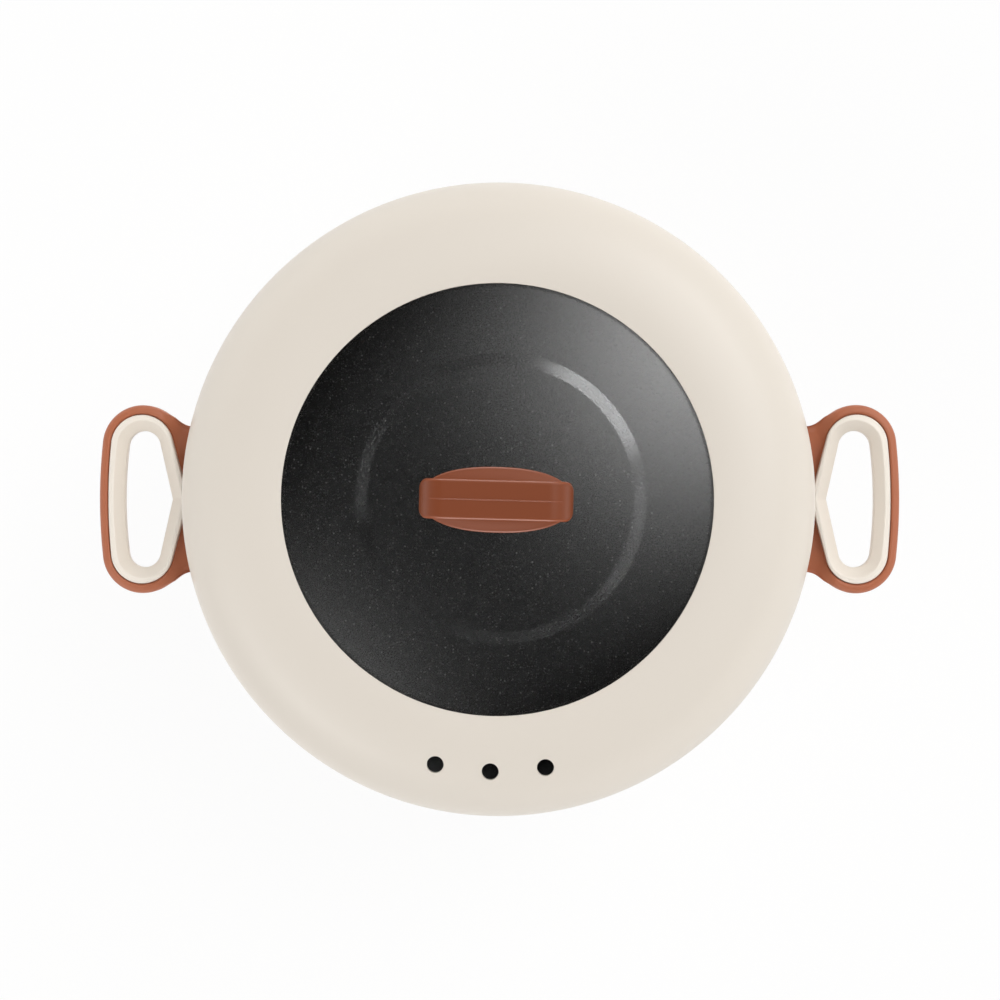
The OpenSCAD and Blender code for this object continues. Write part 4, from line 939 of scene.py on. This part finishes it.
class HOTPOT_OT_shells(Operator):
    """Cream wall and bottom of the body, and the pedestal under them"""
    bl_idname = "hotpot.shells"
    bl_label = "Shells and pedestal"

    def execute(self, context):
        body = sizes().body
        offset, wall = mm(body.shell_offset), mm(body.shell_wall)
        mouth_edge, joint_edge, upper_edge, lower_edge = 0.8, 0.45, 0.4, 0.3
        lo, hi = cad_box("upper_shell")
        corners = [
            (wall_radius(lo[2], offset - wall), lo[2]), (wall_radius(hi[2], offset - wall), hi[2]),
            (wall_radius(hi[2], offset), hi[2]), (wall_radius(lo[2], offset), lo[2]),
        ]
        profile = rounded(corners, [upper_edge, mouth_edge, mouth_edge, joint_edge])
        upper = make_mesh((revolve(profile), True, True))
        add_piece("upper_shell_skin", upper, "cooker_body", cream_abs(), "upper_shell")
        lo, hi = cad_box("lower_shell")
        opening = mm(body.deck_opening)
        inside, outside = bowl_side(offset - wall, hi[2]), bowl_side(offset, hi[2])[::-1]
        corners = np.vstack(([(opening, lo[2] + wall)], inside, outside, [(opening, lo[2])]))
        radii = np.zeros(len(corners))
        radii[len(inside)] = lower_edge
        radii[len(inside) + 1] = joint_edge
        lower = make_mesh((revolve(rounded(corners, radii, 5)), True, True))
        add_piece("lower_shell_skin", lower, "cooker_body", cream_abs(), "lower_shell")
        self.pedestal()
        return {"FINISHED"}

    def pedestal(self):
        """Rings stacked up the outside, over the deck to its opening, and down the inside. Each outer ring
        is a circle with two flats: its radius is a smooth minimum of the circle and the flat, less an inset
        that rounds the edges. The inlet's mouth is cut out of the back."""
        body = sizes().body
        lo, hi = cad_box("base_housing")
        opening, wall = mm(body.deck_opening), mm(body.base_wall)
        deck_edge, foot_edge, opening_edge, opening_drop = 2.4, 1.2, 1, 0.8
        inlet_flange, inlet_edge, reach, sharpness = 3, 1, 12, 220
        t = even_angles(512)
        flat = hi[1] / np.maximum(np.abs(np.sin(t)), 1e-3)
        outer = hi[0] * (1 + (hi[0] / flat) ** sharpness) ** (-1 / sharpness)
        foot = arc(foot_edge, lo[2] + foot_edge, foot_edge, 270, 180, 6)
        top = arc(deck_edge, hi[2] - deck_edge, deck_edge, 180, 90, 8)
        rows = [(outer - inset, z) for inset, z in (*foot, *top)]
        rows += [(opening + opening_edge, hi[2]), (opening, hi[2] - opening_drop), (opening, hi[2] - wall)]
        rows += [(outer - wall, hi[2] - wall), (outer - wall, lo[2])]
        housing = make_mesh((stacked(rows, t), True, True))
        low, high = cad_box("power_inlet")
        low, high = low + inlet_flange, high - inlet_flange
        corners = [(low[0], low[2]), (high[0], low[2]), (high[0], high[2]), (low[0], high[2])]
        mouth = rounded(corners, [inlet_edge] * 4, 5)
        middle = np.broadcast_to(mouth.mean(0), mouth.shape)
        ring = np.stack((middle, mouth, mouth, middle))
        y = hi[1] + np.array((-reach, -reach, reach, reach))[:, None]
        tool = np.stack((ring[..., 0], np.broadcast_to(y, ring.shape[:2]), ring[..., 1]), axis=-1)
        housing = cut(housing, make_mesh((tool, False, True)))
        add_piece("pedestal_skin", housing, "cooker_body", cream_abs(), "base_housing")


class HOTPOT_OT_handles(Operator):
    """Two loop handles with their cream inserts"""
    bl_idname = "hotpot.handles"
    bl_label = "Side handles"

    def execute(self, context):
        t = even_angles(360)
        for side, sign in (("right", 1), ("left", -1)):
            flip = (sign, 1, 1)
            grip = make_mesh((self.grip(t) * flip, True, True))
            add_piece(f"handle_{side}_skin", grip, "cooker_body", brown_nylon(), f"handle_{side}")
            insert = make_mesh((self.insert(t) * flip, True, True))
            skin = add_piece(
                f"handle_insert_{side}_skin", insert, "cooker_body", cream_abs(), f"handle_insert_{side}")
            lit_by("insert_lit").objects.link(skin)
        return {"FINISHED"}

    def row(self, x, y, swell, r, n=7):
        """Circles of radius r from (x, -y) to (x, y), bowed outwards by a parabola that is swell high."""
        i = np.linspace(-1, 1, 2 * n + 1)
        return np.column_stack((x + swell * (1 - i ** 2), y * i, np.full_like(i, r)))

    def outlines(self, t):
        """Distances from the finger hole's middle in directions t: of the loop with its root, of the insert
        and of the hole, each as a function of how far it is moved inwards or outwards."""
        h = sizes().handles
        reach, wide = cad_box("handle_right")[1][:2]
        end, swell, band = mm(h.end_radius), mm(h.swell), mm(h.band)
        finger, rim = mm(h.finger_end), mm(h.rim)
        insert_peak, hole_peak = 4, 1.5
        out_x = reach - band - mm(h.finger_rim)
        peak_x = out_x - mm(h.finger_depth)
        hole_x, hole_y = out_x - mm(h.finger_swell) - finger, mm(h.finger_length) / 2 - finger
        insert_x = reach - band - mm(h.rim_swell) - finger - rim
        insert_y = wide - band - mm(h.band_end) - finger - rim
        centre = (hole_x, 0)

        def loop(d):
            ring = polar(hull_outline(self.row(reach - swell - end, wide - end, swell, end - d)), centre, t)
            # The root grows from beside the middle towards the body, and stops well inside the shell
            root_start, root_end, sharpness = 0.35, 60, 12
            side = (mm(h.root_width) / 2 - d) / np.maximum(np.abs(np.sin(t)), 0.02)
            root = smooth_step(0.0, root_start, -np.cos(t)) * np.minimum(side, root_end)
            # A smooth maximum of the loop and the root rounds the corner between them
            return (ring ** sharpness + root ** sharpness) ** (1 / sharpness)

        def insert(d):
            ends = self.row(insert_x, insert_y, mm(h.rim_swell), finger + rim - d)
            peak = (peak_x - mm(h.finger_rim) + insert_peak, 0, insert_peak - d)
            return polar(hull_outline(np.vstack((ends, peak))), centre, t)

        def hole(d):
            ends = self.row(hole_x, hole_y, mm(h.finger_swell), finger + d)
            peak = (peak_x + hole_peak, 0, hole_peak + d)
            return polar(hull_outline(np.vstack((ends, peak))), centre, t)

        return centre, loop, insert, hole

    def grip(self, t):
        """Brown half: rings from the hole's lower edge out, up the rounded band, in over its top, and down
        the pocket. The top dips towards the body, and what would reach into the shell is moved out to the
        shell."""
        h = sizes().handles
        lo, hi = cad_box("handle_right")
        pocket_z = cad_box("handle_insert_right")[0][2]
        centre, loop, insert, hole = self.outlines(t)
        top_e, in_e, low_e, groove = mm(h.edge), mm(h.inner_edge), 4.0, mm(h.groove)
        # The pocket's clearance, the hole's distance outside the insert's, and its lower chamfer
        pocket_gap, hole_gap, hole_chamfer = 0.02, 0.8, 0.5
        groove_z = hi[2] - in_e - 0.3
        rise = np.radians(np.linspace(0, 90, 9))
        stack = [(hole(hole_gap), lo[2] + hole_chamfer), (hole(hole_gap + hole_chamfer), lo[2])]
        stack += [(loop(low_e * (1 - math.sin(a))), lo[2] + low_e * (1 - math.cos(a))) for a in rise]
        stack += [(loop(top_e * (1 - math.cos(a))), hi[2] - top_e * (1 - math.sin(a))) for a in rise]
        stack += [
            (insert(in_e * (math.cos(a) - 1) - groove), hi[2] - in_e * (1 - math.sin(a)))
            for a in rise[::-1]]
        stack += [(insert(-groove), groove_z)]
        stack += [(insert(-pocket_gap), z) for z in (groove_z, pocket_z)]
        stack += [(hole(hole_gap + 0.05), pocket_z), (hole(hole_gap), pocket_z - 0.1)]
        p = stacked(stack, t) + (centre[0], 0, 0)
        # How far behind the middle the dip starts, the run over which it falls, and the depth that it moves
        dip_start, dip_run, dip_depth, sunk = 8, 11, 5, 0.1
        dip = mm(h.web_dip) * smooth_step(0, dip_run, centre[0] - dip_start - p[..., 0])
        p[..., 2] -= dip * smooth_step(hi[2] - dip_depth, hi[2], p[..., 2])
        # The shell's outside at each point's height
        shell = wall_radius(p[..., 2], mm(sizes().body.shell_offset))
        p[..., 0] = np.maximum(p[..., 0], np.sqrt(shell ** 2 - p[..., 1] ** 2) - sunk)
        return p

    def insert(self, t):
        """Cream half: rings up its side, over a flat rim with a low ridge at its inner edge, and down a
        slope into the hole."""
        h = sizes().handles
        lo, hi = cad_box("handle_insert_right")
        centre, _, insert, hole = self.outlines(t)
        c, edge, edge_drop = mm(h.chamfer), 0.8, 0.25
        rise = np.radians(np.linspace(0, 90, 6))
        stack = [(insert(0.2), lo[2])]
        stack += [
            (insert(edge * (1 - math.cos(a))), hi[2] - edge_drop - edge * (1 - math.sin(a))) for a in rise]
        stack += [(insert(1.4), hi[2] - 0.3)]
        # The ridge by distance past the slope and depth, then the slope, its depths as shares of its width
        ridge = ((0.9, 0.08), (0.5, 0), (0.1, 0.05), (-0.3, 0.32))
        slope = ((0.5 * c, 0.52), (0.5, 0.94), (0.12, 1.05), (0, 1.2))
        stack += [(hole(c + past), hi[2] - deep) for past, deep in ridge]
        stack += [(hole(out), hi[2] - share * c) for out, share in slope]
        stack += [(hole(0), lo[2])]
        return stacked(stack, t) + (centre[0], 0, 0)


class HOTPOT_OT_controls(Operator):
    """Fluted knob with its inlay, bezel and pilot lens on the front flat, and the rubber feet"""
    bl_idname = "hotpot.controls"
    bl_label = "Controls and feet"

    def execute(self, context):
        self.knob()
        self.turned("knob_inlay", "knob", cream_abs(),
                    [(0, 0), (1, 0), (1, 0.75), (0.93, 1), (0, 1.06)], [0, 0.1, 0.25, 1.2, 0])
        bezel_hole = 9.2
        inner = bezel_hole / cad_box("knob_bezel")[1][0]
        self.turned("knob_bezel", "cooker_body", slot_material("bezel_aluminium"),
                    [(inner, 0), (1, 0), (0.965, 1), (inner, 1)], [0, 0.1, 0.5, 0.2], closed=True)
        self.turned("pilot_lens", "cooker_body", amber_lens(),
                    [(0, 0), (1, 0), (1, 0.12), (0.6, 0.9), (0, 1)], [0, 0.1, 0.4, 2, 0], share=0.22)
        self.feet()
        return {"FINISHED"}

    def knob(self):
        """A turned profile whose side is drawn in by flutes, squares of a raised cosine, and a bar with
        shrunken ends as its pointer."""
        lo, hi = cad_box("knob")
        inlay_lo, inlay_hi = cad_box("knob_inlay")
        axis_z = (inlay_lo[2] + inlay_hi[2]) / 2
        r, deep, inlay_r = hi[0], hi[1] - lo[1], inlay_hi[0]
        seat, flute_depth, bar_half, bar_root, bar_edge = deep - 1.0, 0.5, 0.8, r - 3, 0.5
        # Corners of the profile from the back to the inlay's seat, each with its radius
        corners = np.array([
            (0, 0.01, 0), (r - 0.6, 0, 0.3), (r, 0.6, 0.5), (r - 0.35, deep - 2.2, 1.6),
            (r - 2.4, deep, 1.6), (inlay_r + 0.2, deep, 0.3), (inlay_r + 0.05, seat, 0.1), (0, seat, 0),
        ])
        p = revolve(rounded(corners[:, :2], corners[:, 2]), 336)
        turn = np.arctan2(p[..., 1], p[..., 0])
        side = smooth_step(1.2, 2.2, p[..., 2]) * smooth_step(1.5, 3.0, deep - p[..., 2])
        outside = np.hypot(p[..., 0], p[..., 1]) > bar_root
        flute = flute_depth * side * (0.5 + 0.5 * np.cos(sizes().body.flutes * turn)) ** 2 * outside
        p[..., :2] *= (1 - flute / r)[..., None]
        tip = hi[2] - axis_z
        corners = [(-bar_half, bar_root), (bar_half, bar_root), (bar_half, tip), (-bar_half, tip)]
        bar = rounded(corners, [0, 0, bar_edge, bar_edge], 5)
        # Levels of the bar's rows, and how much of its outline each has
        levels = np.array((2.0, 2.0, 2.4, deep - 3.0, deep - 2.5, deep - 2.5))[:, None, None]
        shrink = np.array((0, 0.85, 1, 1, 0.85, 0))[:, None, None]
        middle = np.array((0, r - 1.3))
        outline = middle + (bar - middle) * shrink
        pointer = np.concatenate((outline, np.broadcast_to(levels, (len(levels), len(bar), 1))), axis=-1)
        knob = make_mesh(*[(self.front(grid, 0, hi[1], axis_z), False, True) for grid in (p, pointer)])
        add_piece("knob_skin", knob, "knob", brown_nylon(), "knob")

    def front(self, p, x, back, z):
        """Turns what was built along +Z to face the front, with its back at y = back."""
        return np.stack((p[..., 0] + x, back - p[..., 2], p[..., 1] + z), axis=-1)

    def turned(self, node, body, material, corners, radii, closed=False, share=1.0):
        """A turned piece in the front share of a node's box: corners are shares of its radius and depth,
        rounded by radii."""
        lo, hi = cad_box(node)
        r = (hi[0] - lo[0]) / 2
        deep = (hi[1] - lo[1]) * share
        profile = rounded(np.asarray(corners) * (r, deep), radii)
        x, z = (lo[0] + hi[0]) / 2, (lo[2] + hi[2]) / 2
        grid = self.front(revolve(profile, 96), x, lo[1] + deep, z)
        add_piece(f"{node}_skin", make_mesh((grid, closed, True)), body, material, node)

    def feet(self):
        """Round rubber feet: a pad with rounded edges and a stem, turned once and set in four places."""
        hi = cad_box("base_feet")[1]
        r, stem_r, base = 9.0, 3.8, cad_box("base_cover")[0][2]
        corners = [
            (0, 0), (r - 1, 0), (r, 1.2), (r - 0.3, base), (stem_r, base), (stem_r, hi[2]), (0, hi[2])]
        one = revolve(rounded(corners, [0, 1, 0.6, 0.5, 0, 0.5, 0], 5), 64)
        at = hi[0] - r
        grids = [(one + (sx * at, sy * at, 0), False, True) for sx in (-1, 1) for sy in (-1, 1)]
        feet = make_mesh(*grids)
        add_piece("base_feet_skin", feet, "cooker_body", slot_material("silicone"), "base_feet")


class HOTPOT_OT_sensor_spring(Operator):
    """Coil spring under the sensor, from its foot to its top"""
    bl_idname = "hotpot.sensor_spring"
    bl_label = "Sensor spring"

    def execute(self, context):
        body = sizes().body
        lo, hi = cad_box("sensor_spring")
        wire, turns = mm(body.spring_wire), body.spring_turns
        x, y, _ = (lo + hi) / 2
        coil_r = (hi[0] - lo[0]) / 2 - wire
        turn = np.linspace(0, 2 * np.pi * turns, 32 * turns + 1)[:, None]
        level = np.linspace(lo[2] + wire, hi[2] - wire, len(turn))[:, None]
        t = even_angles(10)
        # Rows of the wire's section, the first and last shrunk to a point to close its ends
        thick = np.full((len(turn), 1), wire)
        ends = np.array([0, *range(len(turn)), len(turn) - 1])
        turn, level, thick = turn[ends], level[ends], thick[ends]
        thick[[0, -1]] = 0
        coil = around(coil_r + thick * np.cos(t), turn, level + thick * np.sin(t)) + (x, y, 0)
        mesh = make_mesh((coil, False, True))
        steel = slot_material(SLOTS["sensor_spring"])
        spring = new_piece("sensor_spring_skin", mesh, steel, "sensor_spring")
        foot, top = (x * MM, y * MM, lo[2] * MM), (x * MM, y * MM, hi[2] * MM)
        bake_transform(spring)
        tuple(foot)
        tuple(top)
        return {"FINISHED"}


class HOTPOT_OT_fittings(Operator):
    """Finishes of the CAD pieces that show as they are"""
    bl_idname = "hotpot.fittings"
    bl_label = "Fittings"

    def execute(self, context):
        for name, node in frame["nodes"].items():
            node.data.materials.clear()
            node.data.materials.append(slot_material(SLOTS[name]))
        return {"FINISHED"}


class HOTPOT_PT_panel(Panel):
    """Lists the pieces in the sidebar"""
    bl_label = "Hot pot"
    bl_idname = "HOTPOT_PT_panel"
    bl_space_type = "VIEW_3D"
    bl_region_type = "UI"
    bl_category = "Hot pot"

    def draw(self, context):
        for group in sizes():
            for key in group.__annotations__:
                self.layout.prop(group, key)
        for operator in OPERATORS:
            self.layout.operator(operator.bl_idname)


OPERATORS = (
    HOTPOT_OT_stage, HOTPOT_OT_fittings, HOTPOT_OT_sensor_spring, HOTPOT_OT_pot, HOTPOT_OT_shells,
    HOTPOT_OT_handles, HOTPOT_OT_controls, HOTPOT_OT_lid, HOTPOT_OT_lid_handle,
)
GROUPS = {
    "hot_pot_lid": HotPotLid, "hot_pot_body": HotPotBody,
    "hot_pot_handles": HotPotHandles, "hot_pot_colours": HotPotColours,
}


def register():
    for name, group in GROUPS.items():
        bpy.utils.register_class(group)
        setattr(bpy.types.Scene, name, PointerProperty(type=group))
    for kind in (*OPERATORS, HOTPOT_PT_panel):
        bpy.utils.register_class(kind)


def unregister():
    for kind in (HOTPOT_PT_panel, *reversed(OPERATORS)):
        bpy.utils.unregister_class(kind)
    for name, group in GROUPS.items():
        delattr(bpy.types.Scene, name)
        bpy.utils.unregister_class(group)


def main():
    register()
    bpy.ops.hotpot.stage()
    bpy.ops.hotpot.fittings()
    bpy.ops.hotpot.sensor_spring()
    bpy.ops.hotpot.pot()
    bpy.ops.hotpot.shells()
    bpy.ops.hotpot.handles()
    bpy.ops.hotpot.controls()
    bpy.ops.hotpot.lid()
    bpy.ops.hotpot.lid_handle()


if __name__ == "__main__":
    main()
